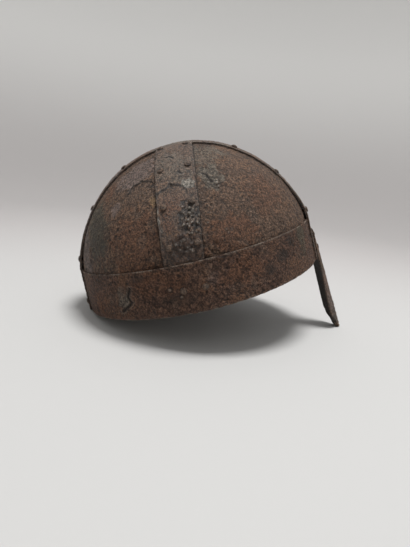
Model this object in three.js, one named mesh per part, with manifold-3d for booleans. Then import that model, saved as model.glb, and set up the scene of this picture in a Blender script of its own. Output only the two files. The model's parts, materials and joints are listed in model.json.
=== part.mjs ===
// A riveted iron helmet of the northern kind: a brow band, a crest strap from front to back,
// a strap down each side, four plates behind them, and a ridged nose bar in front.
// Lengths are in millimetres. The pieces are modelled in the helmet's own axes, x forward,
// y to the wearer's left and z up from the flat rim, and the finished helmet is then turned
// to face -Y and set down on the tip of its nose bar and the back of its rim.
import * as THREE from 'three';
import { mergeVertices } from 'three/addons/utils/BufferGeometryUtils.js';
import Module from 'manifold-3d';

const wasm = await Module();
wasm.setup();

// ---- Driving dimensions ----

// The shell is the surface that the straps lie on: a plan that is nearly an ellipse, drawn in
// towards the crown, with a brow that widens a little down to the rim.
const SHELL_LENGTH = 232;
const SHELL_WIDTH = 204.8;
const SHELL_HEIGHT = 139.5;
const PLAN_POWER = 1.862;
const CROWN_SHIFT = 0.041;
const FLARE = { front: 0.034, back: 0.029, side: 0.0315 };
const DOME_POWERS = {
  front: { height: 1.523, reach: 1.998 },
  back: { height: 1.506, reach: 2.23 },
  side: { height: 1.897, reach: 1.919 },
};

// Sheet thicknesses, the gap between pieces that lie on each other, and how far the middle of
// a sheet's flat facet may lie inside its true curve.
const PLATE_THICKNESS = 1.5;
const STRAP_THICKNESS = 1.7;
const BAND_THICKNESS = 1.7;
const NASAL_THICKNESS = 1.8;
const GAP = 0.3;
const FACET_SAG = 1.3;

// The brow band, and how far its top edge stands off the shell: less behind this far back,
// with the change made over the stated length.
const BAND_HEIGHT = 42.5;
const BAND_TOP_LIFT = { front: 2, back: 0.9 };
const BAND_LIFT_CHANGE = { from: 60, length: 45 };

// Straps. A side strap's middle line leans forward on its way up, and so does the line that
// its rivets stand evenly about. A line's middle is where it is at the top of the band. The
// band's own pair of rivets below each side strap stands about an upright line.
const CREST_WIDTH = 43.2;
const CREST_STEP_HEIGHT = 40;
const SIDE_STRAP_WIDTH = 33.7;
const SIDE_STRAP_LINE = { middle: -7, lean: 0.12 };
const SIDE_RIVET_LINE = { middle: -5, lean: 0.087 };
const BAND_RIVET_LINE = { middle: -3, lean: 0 };
const SIDE_STRAP_FOOT = 12;
const DOME_LIFT = 2.3;
const DOME_LIFT_HEIGHT = 45;
const PLATE_DOME_LIFT = DOME_LIFT - STRAP_THICKNESS - GAP;

// Plates reach this far in from a strap's middle line, and down to this height behind the band.
const PLATE_EDGE_UNDER_CREST = 10.6;
const PLATE_EDGE_UNDER_SIDE = 6;
const PLATE_FOOT = 14;
const PLATE_LAST_CLIMB = THREE.MathUtils.degToRad(87);

// Behind a side strap's foot the plates are dented in to make room for it. Each dent is level
// for this far past the strap's edges, and then comes out over this width.
const DENT_MARGIN = 8;
const DENT_SLOPE = 18;

// The nose bar: a ridged tang on the crest strap, a free bar and a narrow tongue at its end.
// Its outline gives half its width at each height.
const NASAL_TOP = 28;
const NASAL_HALF_WIDTH = 13;
const NASAL_OUTLINE = [
  { up: NASAL_TOP, half: 6.3 },
  { up: 25, half: 10.5 },
  { up: 14, half: 12 },
  { up: 0, half: NASAL_HALF_WIDTH },
  { up: -15, half: NASAL_HALF_WIDTH },
  { up: -30, half: 12.6 },
  { up: -48, half: 12 },
  { up: -62, half: 11.3 },
  { up: -68, half: 9.5 },
  { up: -74, half: 6 },
  { up: -81, half: 5 },
  { up: -85, half: 3.4 },
];
const NASAL_COLUMNS = 6;
const NASAL_LEAN = 0.103;
const NASAL_RIDGE_AT_RIM = 127.6;
const NASAL_RISE_AT_TOP = 0.9;
const NASAL_FREE_DEPTH = 9;
const NASAL_FREEING = 80;
const NASAL_RIDGE_POWER = 1.25;

// Rivets: a domed head outside, a shank and a clenched head inside.
const RIVET_HEAD_RADIUS = 3;
const RIVET_HEAD_HEIGHT = 1.7;
const RIVET_SHOULDER = { radius: 0.7 * RIVET_HEAD_RADIUS, height: 0.72 * RIVET_HEAD_HEIGHT };
const RIVET_SHANK_RADIUS = 1.5;
const RIVET_TAIL_RADIUS = 2.6;
const RIVET_TAIL_HEIGHT = 1.2;
const RIVET_SIDES = 6;
const HOLE_RADIUS = RIVET_SHANK_RADIUS + GAP;
const HOLE_LENGTH = 24;
const CREST_RIVET_SIDE = 15.5;
const CREST_RIVET_ANGLES = { front: [4, 28, 54], rear: [5, 32.5, 61] };
const CREST_FOOT_RIVET_HEIGHT = 8.7;
const SIDE_RIVET_SPREAD = 11.6;
const SIDE_RIVET_ANGLES = [8, 27, 49, 74];
const BAND_RIVET_HEIGHT = 20.5;
const BAND_RIVET_SPREAD = 9;
const NASAL_RIVET_HEIGHTS = [22, 8];

// How finely the curved sheets are divided, and a size larger than the helmet.
const BAND_COLUMNS = 72;
const PLATE_COLUMNS = 40;
const PLATE_ROWS = 9;
const CREST_STATIONS = 30;
const CREST_COLUMNS = 5;
const SIDE_STATIONS = 11;
const SIDE_COLUMNS = 3;
const ROOM = 300;

// ---- The shell's surface ----

const DOME_RISE = SHELL_HEIGHT - BAND_HEIGHT;

// How far the plan reaches to the front, back and side at a height, and where its middle is.
function planAt(up) {
  if (up <= BAND_HEIGHT) {
    const down = 1 - up / BAND_HEIGHT;
    return {
      front: (SHELL_LENGTH / 2) * (1 + FLARE.front * down),
      back: (SHELL_LENGTH / 2) * (1 + FLARE.back * down),
      side: (SHELL_WIDTH / 2) * (1 + FLARE.side * down),
      middle: 0,
    };
  }
  const rise = Math.min((up - BAND_HEIGHT) / DOME_RISE, 1 - 1e-9);
  const drawnIn = (powers) => (1 - rise ** powers.height) ** (1 / powers.reach);
  return {
    front: (SHELL_LENGTH / 2) * drawnIn(DOME_POWERS.front),
    back: (SHELL_LENGTH / 2) * drawnIn(DOME_POWERS.back),
    side: (SHELL_WIDTH / 2) * drawnIn(DOME_POWERS.side),
    middle: CROWN_SHIFT * (up - BAND_HEIGHT),
  };
}

// Below 0 inside the shell, 0 on it and above 0 outside it.
function beyondShell(point) {
  const plan = planAt(point.z);
  const forward = point.x - plan.middle;
  const reach = forward > 0 ? plan.front : plan.back;
  return (Math.abs(forward) / reach) ** PLAN_POWER
    + (Math.abs(point.y) / plan.side) ** PLAN_POWER - 1;
}

// Where a line from inside the shell meets it, found by halving.
function meetShell(start, direction) {
  let inside = 0;
  let outside = ROOM;
  for (let halving = 0; halving < 40; halving += 1) {
    const middle = (inside + outside) / 2;
    const point = start.clone().addScaledVector(direction, middle);
    if (point.z < SHELL_HEIGHT && beyondShell(point) < 0) {
      inside = middle;
    } else {
      outside = middle;
    }
  }
  return start.clone().addScaledVector(direction, inside);
}

// The outward direction at a point of the shell. It is level all the way up the brow band, so
// that the rim stays flat.
function outwardAt(point) {
  const step = 0.01;
  const slope = (axis) => {
    const shifted = point.clone().addScaledVector(axis, step);
    return (beyondShell(shifted) - beyondShell(point)) / step;
  };
  const upward = point.z > BAND_HEIGHT ? slope(new THREE.Vector3(0, 0, -1)) : 0;
  const outward = new THREE.Vector3(
    slope(new THREE.Vector3(1, 0, 0)),
    slope(new THREE.Vector3(0, 1, 0)),
    -upward,
  );
  return outward.normalize();
}

// A point on the shell moved out by what a layer says for it.
function onLayer(start, direction, layer) {
  const point = meetShell(start, direction);
  return point.clone().addScaledVector(outwardAt(point), layer(point));
}

// ---- Layers: how far each face lies outside the shell at a point of it ----

// An even S-shaped change from 0 to 1.
function ease(share) {
  return THREE.MathUtils.smoothstep(share, 0, 1);
}

function bandOuter(point) {
  const back = ease((-point.x - BAND_LIFT_CHANGE.from) / BAND_LIFT_CHANGE.length);
  const topLift = THREE.MathUtils.lerp(BAND_TOP_LIFT.front, BAND_TOP_LIFT.back, back);
  return (topLift * Math.min(point.z, BAND_HEIGHT)) / BAND_HEIGHT;
}

const bandInner = (point) => bandOuter(point) - BAND_THICKNESS;

// Moves a face out from where it is behind the band to where it is on the dome.
function risingTo(domeLift, behindBand, point) {
  const share = ease((point.z - BAND_HEIGHT) / DOME_LIFT_HEIGHT);
  return THREE.MathUtils.lerp(behindBand, domeLift, share);
}

// The side straps tuck in under the band and come out to their full lift on the dome.
const strapOuter = (point) => risingTo(DOME_LIFT, bandInner(point) - GAP, point);
const strapInner = (point) => strapOuter(point) - STRAP_THICKNESS;

// The crest strap runs out over the band at both of its ends.
function crestInner(point) {
  const down = ease((point.z - BAND_HEIGHT) / CREST_STEP_HEIGHT);
  return THREE.MathUtils.lerp(bandOuter(point) + GAP, DOME_LIFT - STRAP_THICKNESS, down);
}

const crestOuter = (point) => crestInner(point) + STRAP_THICKNESS;

// How far forward a leaning line is at a height.
function lineAt(line, up) {
  return line.middle + line.lean * (up - BAND_HEIGHT);
}

// The plates lie against the band, but for a dent behind the foot of each side strap.
function plateOuter(point) {
  const aside = Math.abs(point.x - lineAt(SIDE_STRAP_LINE, point.z));
  const clear = aside - SIDE_STRAP_WIDTH / 2 - DENT_MARGIN;
  const againstBand = risingTo(PLATE_DOME_LIFT, bandInner(point) - GAP, point);
  return THREE.MathUtils.lerp(strapInner(point) - GAP, againstBand, ease(clear / DENT_SLOPE));
}

const plateInner = (point) => plateOuter(point) - PLATE_THICKNESS;

// ---- Solids ----

// A solid for cutting and joining, from a closed geometry.
function solidOf(geometry) {
  const bare = geometry.clone();
  bare.deleteAttribute('normal');
  bare.deleteAttribute('uv');
  const merged = mergeVertices(bare, 1e-4);
  return new wasm.Manifold(new wasm.Mesh({
    numProp: 3,
    vertProperties: new Float32Array(merged.attributes.position.array),
    triVerts: new Uint32Array(merged.index.array),
  }));
}

// A geometry to show, from a solid.
function geometryOf(solid) {
  const mesh = solid.getMesh();
  const geometry = new THREE.BufferGeometry();
  geometry.setAttribute('position', new THREE.BufferAttribute(mesh.vertProperties, 3));
  geometry.setIndex(new THREE.BufferAttribute(mesh.triVerts, 1));
  geometry.computeVertexNormals();
  return geometry;
}

// Turns the faces of a closed geometry round where they point in.
function faceOut(positions, triangles) {
  const corner = (index) => new THREE.Vector3().fromArray(positions, 3 * index);
  let volume = 0;
  for (let at = 0; at < triangles.length; at += 3) {
    const [a, b, c] = [0, 1, 2].map((next) => corner(triangles[at + next]));
    volume += a.dot(b.cross(c));
  }
  return volume < 0 ? triangles.reverse() : triangles;
}

// A sheet of metal between two grids of points of the same size, outer and inner. A sheet that
// wraps is a closed hoop along its rows.
function sheet(outer, inner, wraps = false) {
  const rows = outer.length;
  const columns = outer[0].length;
  const positions = [...outer, ...inner].flat().flatMap((point) => point.toArray());
  const triangles = [];
  const quad = (a, b, c, d) => triangles.push(a, b, c, a, c, d);
  const at = (layer, row, column) => (layer * rows + row) * columns + (column % columns);
  const spans = wraps ? columns : columns - 1;
  for (let row = 0; row < rows - 1; row += 1) {
    for (let column = 0; column < spans; column += 1) {
      const [r, c] = [row + 1, column + 1];
      quad(at(0, row, column), at(0, row, c), at(0, r, c), at(0, r, column));
      quad(at(1, row, column), at(1, r, column), at(1, r, c), at(1, row, c));
    }
  }
  for (let column = 0; column < spans; column += 1) {
    const c = column + 1;
    quad(at(0, 0, column), at(1, 0, column), at(1, 0, c), at(0, 0, c));
    quad(at(0, rows - 1, column), at(0, rows - 1, c), at(1, rows - 1, c), at(1, rows - 1, column));
  }
  for (let row = 0; row < rows - 1 && !wraps; row += 1) {
    const r = row + 1;
    const end = columns - 1;
    quad(at(0, row, 0), at(0, r, 0), at(1, r, 0), at(1, row, 0));
    quad(at(0, row, end), at(1, row, end), at(1, r, end), at(0, r, end));
  }
  const geometry = new THREE.BufferGeometry();
  geometry.setAttribute('position', new THREE.Float32BufferAttribute(positions, 3));
  geometry.setIndex(faceOut(positions, triangles));
  return geometry;
}

// A grid of points from a function of a row and a column.
function grid(rows, columns, pointAt) {
  return rows.map((row) => columns.map((column) => pointAt(row, column)));
}

// Even steps from one number to another, both included.
function steps(from, to, count) {
  return Array.from({ length: count + 1 }, (_, step) => from + ((to - from) * step) / count);
}

// ---- The sheet pieces ----

// A line of sight from the helmet's middle axis at a height and a bearing round the plan.
function bearingRay(up, bearing, climb = 0) {
  return {
    start: new THREE.Vector3(0, 0, up),
    direction: new THREE.Vector3(
      Math.cos(bearing) * Math.cos(climb),
      Math.sin(bearing) * Math.cos(climb),
      Math.sin(climb),
    ),
  };
}

function browBand() {
  const turn = (2 * Math.PI) / BAND_COLUMNS;
  const bearings = steps(turn / 2, 2 * Math.PI - turn / 2, BAND_COLUMNS - 1);
  const face = (layer) => grid([0, BAND_HEIGHT], bearings, (up, bearing) => {
    const ray = bearingRay(up, bearing);
    return onLayer(ray.start, ray.direction, layer);
  });
  return sheet(face(bandOuter), face(bandInner), true);
}

// The four plates are cut from one dome, which is open at the very top.
function plateDome() {
  const turn = (2 * Math.PI) / PLATE_COLUMNS;
  const bearings = steps(0, 2 * Math.PI - turn, PLATE_COLUMNS - 1);
  const brow = steps(PLATE_FOOT, BAND_HEIGHT, 2).map((up) => ({ up, climb: 0 }));
  const climbs = steps(0, PLATE_LAST_CLIMB, PLATE_ROWS).slice(1);
  const stations = [...brow, ...climbs.map((climb) => ({ up: BAND_HEIGHT, climb }))];
  const face = (layer) => grid(stations, bearings, (station, bearing) => {
    const ray = bearingRay(station.up, bearing, station.climb);
    return onLayer(ray.start, ray.direction, layer);
  });
  return solidOf(sheet(face(plateOuter), face(plateInner), true));
}

// The room that one quarter of the dome takes up, between the middles of the straps.
function quarterRoom(foreward, sideward) {
  const box = new THREE.BoxGeometry(ROOM, ROOM, 2 * ROOM);
  box.translate(
    foreward * (PLATE_EDGE_UNDER_SIDE + ROOM / 2),
    sideward * (PLATE_EDGE_UNDER_CREST + ROOM / 2),
    0,
  );
  box.rotateY(Math.atan(SIDE_STRAP_LINE.lean));
  box.translate(SIDE_STRAP_LINE.middle, 0, BAND_HEIGHT);
  return solidOf(box);
}

// A line of sight in an upright plane along the helmet: level below the top of the band, and
// fanning over the dome above it. An angle of 0 is forward and 180 degrees is back.
function crestRay(station, side) {
  const angle = THREE.MathUtils.degToRad(station.angle);
  return {
    start: new THREE.Vector3(0, side, station.up),
    direction: new THREE.Vector3(Math.cos(angle), 0, Math.sin(angle)),
  };
}

function crestStrap() {
  const brow = steps(0, BAND_HEIGHT, 3);
  const fan = steps(0, 180, CREST_STATIONS).slice(1, -1);
  const stations = [
    ...brow.map((up) => ({ up, angle: 0 })),
    ...fan.map((angle) => ({ up: BAND_HEIGHT, angle })),
    ...brow.reverse().map((up) => ({ up, angle: 180 })),
  ];
  const sides = steps(-CREST_WIDTH / 2, CREST_WIDTH / 2, CREST_COLUMNS);
  const face = (layer) => grid(stations, sides, (station, side) => {
    const ray = crestRay(station, side);
    return onLayer(ray.start, ray.direction, layer);
  });
  return sheet(face(crestOuter), face(crestInner));
}

// A line of sight in the plane across the helmet through a leaning line, a distance before or
// behind that line.
function sideRay(line, station, along, sideward) {
  const angle = THREE.MathUtils.degToRad(station.angle);
  return {
    start: new THREE.Vector3(lineAt(line, station.up) + along, 0, station.up),
    direction: new THREE.Vector3(
      line.lean * Math.sin(angle),
      sideward * Math.cos(angle),
      Math.sin(angle),
    ),
  };
}

// The angle at which a side strap meets the edge of the crest strap, found by halving.
function crownAngle(along, sideward) {
  let below = 0;
  let above = 90;
  for (let halving = 0; halving < 30; halving += 1) {
    const angle = (below + above) / 2;
    const ray = sideRay(SIDE_STRAP_LINE, { up: BAND_HEIGHT, angle }, along, sideward);
    if (Math.abs(meetShell(ray.start, ray.direction).y) > CREST_WIDTH / 2 + GAP) {
      below = angle;
    } else {
      above = angle;
    }
  }
  return below;
}

function sideStrap(sideward) {
  const brow = steps(SIDE_STRAP_FOOT, BAND_HEIGHT, 2).map((up) => ({ up, share: 0 }));
  const climb = steps(0, 1, SIDE_STATIONS).slice(1).map((share) => ({ up: BAND_HEIGHT, share }));
  const alongs = steps(-SIDE_STRAP_WIDTH / 2, SIDE_STRAP_WIDTH / 2, SIDE_COLUMNS);
  const face = (layer) => grid([...brow, ...climb], alongs, (station, along) => {
    const angle = station.share * crownAngle(along, sideward);
    const ray = sideRay(SIDE_STRAP_LINE, { up: station.up, angle }, along, sideward);
    return onLayer(ray.start, ray.direction, layer);
  });
  return sheet(face(strapOuter), face(strapInner));
}

// ---- The nose bar ----

// How far forward the crest strap's outer face is at a height of the band and a distance aside.
function crestFace(up, side) {
  const ray = crestRay({ up: Math.max(up, 0), angle: 0 }, side);
  return onLayer(ray.start, ray.direction, crestOuter).x;
}

// The nose bar's outer ridge: free and leaning forward below the rim, and on the strap above it.
function nasalRidge(up) {
  if (up <= 0) {
    return NASAL_RIDGE_AT_RIM - NASAL_LEAN * up;
  }
  const seated = crestFace(NASAL_TOP, 0) + GAP + NASAL_THICKNESS + NASAL_RISE_AT_TOP;
  return THREE.MathUtils.lerp(NASAL_RIDGE_AT_RIM, seated, up / NASAL_TOP);
}

// How far the bar's outer face lies behind its ridge at a distance aside. On the strap its
// edges come down to the strap, and below the rim they are set back evenly.
function nasalSetback(up, side) {
  const share = (Math.abs(side) / NASAL_HALF_WIDTH) ** NASAL_RIDGE_POWER;
  const clearOfStrap = crestFace(up, NASAL_HALF_WIDTH) + GAP + NASAL_THICKNESS;
  const seatedDepth = nasalRidge(Math.max(up, 0)) - clearOfStrap;
  const free = ease(-up / NASAL_FREEING);
  return share * THREE.MathUtils.lerp(seatedDepth, NASAL_FREE_DEPTH, free);
}

function nasal() {
  const shares = steps(-1, 1, NASAL_COLUMNS);
  const face = (depth) => grid(NASAL_OUTLINE, shares, (station, share) => {
    const side = share * station.half;
    const forward = nasalRidge(station.up) - nasalSetback(station.up, side) - depth;
    return new THREE.Vector3(forward, side, station.up);
  });
  return sheet(face(0), face(NASAL_THICKNESS));
}

// ---- Rivets ----

// A rivet along +Y with the underside of its outer head at height 0, and the stated length
// between its two heads.
function rivetShape(grip) {
  const outline = [
    [0, -grip - RIVET_TAIL_HEIGHT],
    [RIVET_TAIL_RADIUS, -grip],
    [RIVET_SHANK_RADIUS, -grip],
    [RIVET_SHANK_RADIUS, 0],
    [RIVET_HEAD_RADIUS, 0],
    [RIVET_SHOULDER.radius, RIVET_SHOULDER.height],
    [0, RIVET_HEAD_HEIGHT],
  ];
  const points = outline.map(([radius, height]) => new THREE.Vector2(radius, height));
  return geometryOf(solidOf(new THREE.LatheGeometry(points, RIVET_SIDES)));
}

// A rivet at the point where a ray meets the shell, through all from one layer to another.
function rivetAlong(name, ray, outerLayer, innerLayer) {
  const point = meetShell(ray.start, ray.direction);
  const outward = outwardAt(point);
  const seat = point.clone().addScaledVector(outward, outerLayer(point) + GAP);
  const grip = outerLayer(point) - innerLayer(point) + GAP + FACET_SAG;
  return { name, seat, outward, grip };
}

const SIDES = [{ name: 'right', sideward: -1 }, { name: 'left', sideward: 1 }];

function crestRivets() {
  return SIDES.flatMap(({ name, sideward }) => {
    const aside = sideward * CREST_RIVET_SIDE;
    const front = CREST_RIVET_ANGLES.front.map((angle, index) => rivetAlong(
      `crest_rivet_front_${name}_${index + 1}`,
      crestRay({ up: BAND_HEIGHT, angle }, aside),
      crestOuter,
      plateInner,
    ));
    const rear = CREST_RIVET_ANGLES.rear.map((angle, index) => rivetAlong(
      `crest_rivet_rear_${name}_${index + 1}`,
      crestRay({ up: BAND_HEIGHT, angle: 180 - angle }, aside),
      crestOuter,
      plateInner,
    ));
    const foot = rivetAlong(
      `crest_rivet_foot_${name}`,
      crestRay({ up: CREST_FOOT_RIVET_HEIGHT, angle: 180 }, aside),
      crestOuter,
      bandInner,
    );
    return [...front, ...rear, foot];
  });
}

function sideRivets() {
  return SIDES.flatMap(({ name, sideward }) => [-1, 1].flatMap((end) => {
    const edge = end < 0 ? 'rear' : 'front';
    const up = BAND_HEIGHT;
    const strap = SIDE_RIVET_ANGLES.map((angle, index) => rivetAlong(
      `side_rivet_${edge}_${name}_${index + 1}`,
      sideRay(SIDE_RIVET_LINE, { up, angle }, end * SIDE_RIVET_SPREAD, sideward),
      strapOuter,
      plateInner,
    ));
    const foot = { up: BAND_RIVET_HEIGHT, angle: 0 };
    const band = rivetAlong(
      `band_rivet_${edge}_${name}`,
      sideRay(BAND_RIVET_LINE, foot, end * BAND_RIVET_SPREAD, sideward),
      bandOuter,
      plateInner,
    );
    return [...strap, band];
  }));
}

function nasalRivets() {
  return NASAL_RIVET_HEIGHTS.map((up, index) => {
    const proudest = nasalRidge(up - RIVET_HEAD_RADIUS);
    const seat = new THREE.Vector3(proudest + GAP, 0, up);
    const front = new THREE.Vector3(planAt(up).front, 0, up);
    const inside = front.x + bandInner(front) - FACET_SAG;
    return {
      name: `nasal_rivet_${index + 1}`,
      seat,
      outward: new THREE.Vector3(1, 0, 0),
      grip: seat.x - inside,
    };
  });
}

// ---- Assembly ----

const COLOURS = { plate: 0x4a3426, strap: 0x463a30, band: 0x523a2b, nasal: 0x3f352e, rivet: 0x3b322b };

function iron(colour) {
  return new THREE.MeshStandardMaterial({ color: colour, roughness: 0.8, metalness: 0.45 });
}

// A rivet's mesh, standing in its place.
function rivetMesh({ name, seat, outward, grip }) {
  const mesh = new THREE.Mesh(rivetShape(grip), iron(COLOURS.rivet));
  mesh.name = name;
  mesh.position.copy(seat);
  mesh.quaternion.setFromUnitVectors(new THREE.Vector3(0, 1, 0), outward);
  mesh.updateMatrix();
  return mesh;
}

// One solid with every rivet's hole, to cut from all the sheets.
function allHoles(meshes) {
  const holes = meshes.map((mesh) => {
    const hole = new THREE.CylinderGeometry(HOLE_RADIUS, HOLE_RADIUS, HOLE_LENGTH, RIVET_SIDES);
    return solidOf(hole.applyMatrix4(mesh.matrix));
  });
  return holes.reduce((joined, hole) => joined.add(hole));
}

const rivets = [...crestRivets(), ...sideRivets(), ...nasalRivets()].map(rivetMesh);
const drill = allHoles(rivets);
const dome = plateDome();
const plates = SIDES.flatMap(({ name, sideward }) => [
  [`plate_front_${name}`, dome.intersect(quarterRoom(1, sideward)), COLOURS.plate],
  [`plate_rear_${name}`, dome.intersect(quarterRoom(-1, sideward)), COLOURS.plate],
]);
const sheets = [
  ['brow_band', solidOf(browBand()), COLOURS.band],
  ['crest_strap', solidOf(crestStrap()), COLOURS.strap],
  ...SIDES.map(({ name, sideward }) => [
    `side_strap_${name}`, solidOf(sideStrap(sideward)), COLOURS.strap,
  ]),
  ['nasal', solidOf(nasal()), COLOURS.nasal],
  ...plates,
];

const helmet = new THREE.Group();
sheets.forEach(([name, solid, colour]) => {
  const mesh = new THREE.Mesh(geometryOf(solid.subtract(drill)), iron(colour));
  mesh.name = name;
  helmet.add(mesh);
});
helmet.add(...rivets);
helmet.rotation.z = -Math.PI / 2;

// The lowest point of a piece, with the helmet leaning back by an angle.
function lowest(mesh, lean, group) {
  group.rotation.x = -lean;
  group.updateMatrixWorld(true);
  return new THREE.Box3().setFromObject(mesh, true).min.z;
}

// The helmet leans back until its nose bar and the foot of its crest strap stand equally low.
function setDown(group) {
  let less = 0;
  let more = Math.PI / 4;
  const nose = group.getObjectByName('nasal');
  const foot = group.getObjectByName('crest_strap');
  for (let halving = 0; halving < 30; halving += 1) {
    const lean = (less + more) / 2;
    if (lowest(nose, lean, group) < lowest(foot, lean, group)) {
      less = lean;
    } else {
      more = lean;
    }
  }
  const box = new THREE.Box3().setFromObject(group, true);
  const middle = box.getCenter(new THREE.Vector3());
  group.position.set(-middle.x, -middle.y, -box.min.z);
  group.updateMatrixWorld(true);
}

const group = new THREE.Group();
group.add(helmet);
setDown(group);

export default group;
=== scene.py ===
"""An old iron helmet of riveted plates, rusted all over, dressed around its packed construction.

Every piece is worked out in the helmet's own axes, x forward, y to the wearer's left and z up
from the rim, in millimetres, and is then set down in the frame's place and metres.
"""

import json
import logging
import math
from dataclasses import dataclass, field
from enum import Enum
from typing import Any, Callable, Sequence

import bpy
import numpy as np
from mathutils import Matrix, Vector


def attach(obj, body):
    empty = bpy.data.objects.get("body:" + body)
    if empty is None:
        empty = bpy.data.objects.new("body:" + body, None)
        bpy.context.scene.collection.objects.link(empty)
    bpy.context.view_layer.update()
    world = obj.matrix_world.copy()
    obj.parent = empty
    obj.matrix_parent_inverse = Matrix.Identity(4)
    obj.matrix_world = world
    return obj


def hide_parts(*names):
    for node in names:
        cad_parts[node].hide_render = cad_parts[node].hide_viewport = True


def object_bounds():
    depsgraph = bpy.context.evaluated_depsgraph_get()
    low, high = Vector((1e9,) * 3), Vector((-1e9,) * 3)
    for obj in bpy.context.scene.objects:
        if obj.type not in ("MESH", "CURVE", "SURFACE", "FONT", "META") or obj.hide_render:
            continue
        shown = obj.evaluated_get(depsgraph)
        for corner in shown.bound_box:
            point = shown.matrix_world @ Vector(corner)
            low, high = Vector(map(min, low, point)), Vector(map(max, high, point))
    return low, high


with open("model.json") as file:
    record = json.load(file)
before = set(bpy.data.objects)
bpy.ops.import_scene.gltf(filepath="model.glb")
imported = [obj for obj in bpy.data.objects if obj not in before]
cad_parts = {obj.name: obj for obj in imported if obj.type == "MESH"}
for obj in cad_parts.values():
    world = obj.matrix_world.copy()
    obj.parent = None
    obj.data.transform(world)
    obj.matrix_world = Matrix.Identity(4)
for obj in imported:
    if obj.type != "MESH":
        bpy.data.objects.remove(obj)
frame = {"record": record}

CAD_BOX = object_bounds()
LOG = logging.getLogger("helmet")
Array = np.ndarray
Point = tuple[float, float, float]
Colour = tuple[float, float, float]
NEAR_FACE = 3.0
FAR_FROM_EDGE = 99.0


# ---- Small sums ----


def ease(share: Array) -> Array:
    """An even S-shaped change from 0 to 1: 3 s squared less 2 s cubed."""
    held = np.clip(share, 0.0, 1.0)
    return held * held * (3.0 - 2.0 * held)


def blend(first: Array | float, second: Array | float, share: Array | float) -> Array:
    """The value a share of the way from the first to the second."""
    return first + (second - first) * share


def bell(share: Array) -> Array:
    """A bump from 1 in the middle towards 0: e to the power of less the share squared."""
    return np.exp(-(share**2))


def across(width: float, step: float, edge: float) -> Array:
    """Places across a strip, from 0 to its width, close together within its rounded edges.

    Args:
        width: The strip's width.
        step: The spacing away from the edges.
        edge: The radius of the rounded edges.

    Returns:
        The places in order.
    """
    rim = edge * np.array([0.0, 0.06, 0.25, 0.6])
    inner = np.linspace(edge, width - edge, max(3, round((width - 2 * edge) / step)))
    return np.concatenate([rim, inner, width - rim[::-1]])


def rounding(distance: Array, radius: float) -> Array:
    """How far a face drops towards its edge: r less the root of r squared less (r - d) squared."""
    short = radius - np.clip(distance, 0.0, radius)
    return radius - np.sqrt(radius * radius - short * short)


class Noise:
    """Seeded unevenness in space, the same on every run."""

    def __init__(self, seed: int) -> None:
        """Draws the tables of one kind of unevenness.

        Args:
            seed: Which kind.
        """
        rng = np.random.default_rng(seed)
        self.order = rng.permutation(256)
        slopes = rng.normal(size=(256, 3))
        self.slopes = slopes / np.linalg.norm(slopes, axis=1, keepdims=True)
        self.scatter = rng.random((256, 4))

    def key(self, cell: Array) -> Array:
        """Scrambles whole-numbered cells.

        Args:
            cell: Cells, with the last axis x, y and z.

        Returns:
            A place in the tables for each cell.
        """
        mixed = self.order[cell[..., 0] & 255]
        mixed = self.order[(mixed + cell[..., 1]) & 255]
        return self.order[(mixed + cell[..., 2]) & 255]

    def smooth(self, points: Array, size: float) -> Array:
        """Gradient noise: each cell corner's slope times the way from it, eased between corners.

        Args:
            points: Places, with the last axis x, y and z.
            size: The size of a cell, in the points' unit.

        Returns:
            A number for each place, from about -1 to 1.
        """
        scaled = points / size
        cell = np.floor(scaled).astype(np.int64)
        local = scaled - cell
        share = ease(local)
        total = np.zeros(points.shape[:-1])
        for corner in np.ndindex(2, 2, 2):
            at = np.array(corner)
            slope = self.slopes[self.key(cell + at)]
            near = np.where(at == 1, share, 1.0 - share).prod(axis=-1)
            total += near * np.einsum("...i,...i", slope, local - at)
        return 1.6 * total

    def layered(self, points: Array, size: float, layers: int) -> Array:
        """Adds layers of smooth noise, each half the size and a little over half the height.

        Args:
            points: Places, with the last axis x, y and z.
            size: The size of the largest layer's cells.
            layers: How many layers.

        Returns:
            A number for each place.
        """
        total = np.zeros(points.shape[:-1])
        for layer in range(layers):
            total += 0.55**layer * self.smooth(points + 31.7 * layer, size / 2**layer)
        return total

    def cells(self, points: Array, size: float) -> tuple[Array, Array]:
        """Distance to the nearest of one scattered point in each cell, in cells, and its number.

        Args:
            points: Places, with the last axis x, y and z.
            size: The size of a cell, in the points' unit.

        Returns:
            The distances, and a number from 0 to 1 that belongs to each nearest point.
        """
        scaled = points / size
        cell = np.floor(scaled).astype(np.int64)
        local = scaled - cell
        nearest = np.full(points.shape[:-1], 9.0)
        number = np.zeros(points.shape[:-1])
        for offset in np.ndindex(3, 3, 3):
            shift = np.array(offset) - 1
            scattered = self.scatter[self.key(cell + shift)]
            gap = np.linalg.norm(shift + scattered[..., :3] - local, axis=-1)
            closer = gap < nearest
            nearest = np.where(closer, gap, nearest)
            number = np.where(closer, scattered[..., 3], number)
        return nearest, number


# ---- The helmet's shape ----


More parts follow.
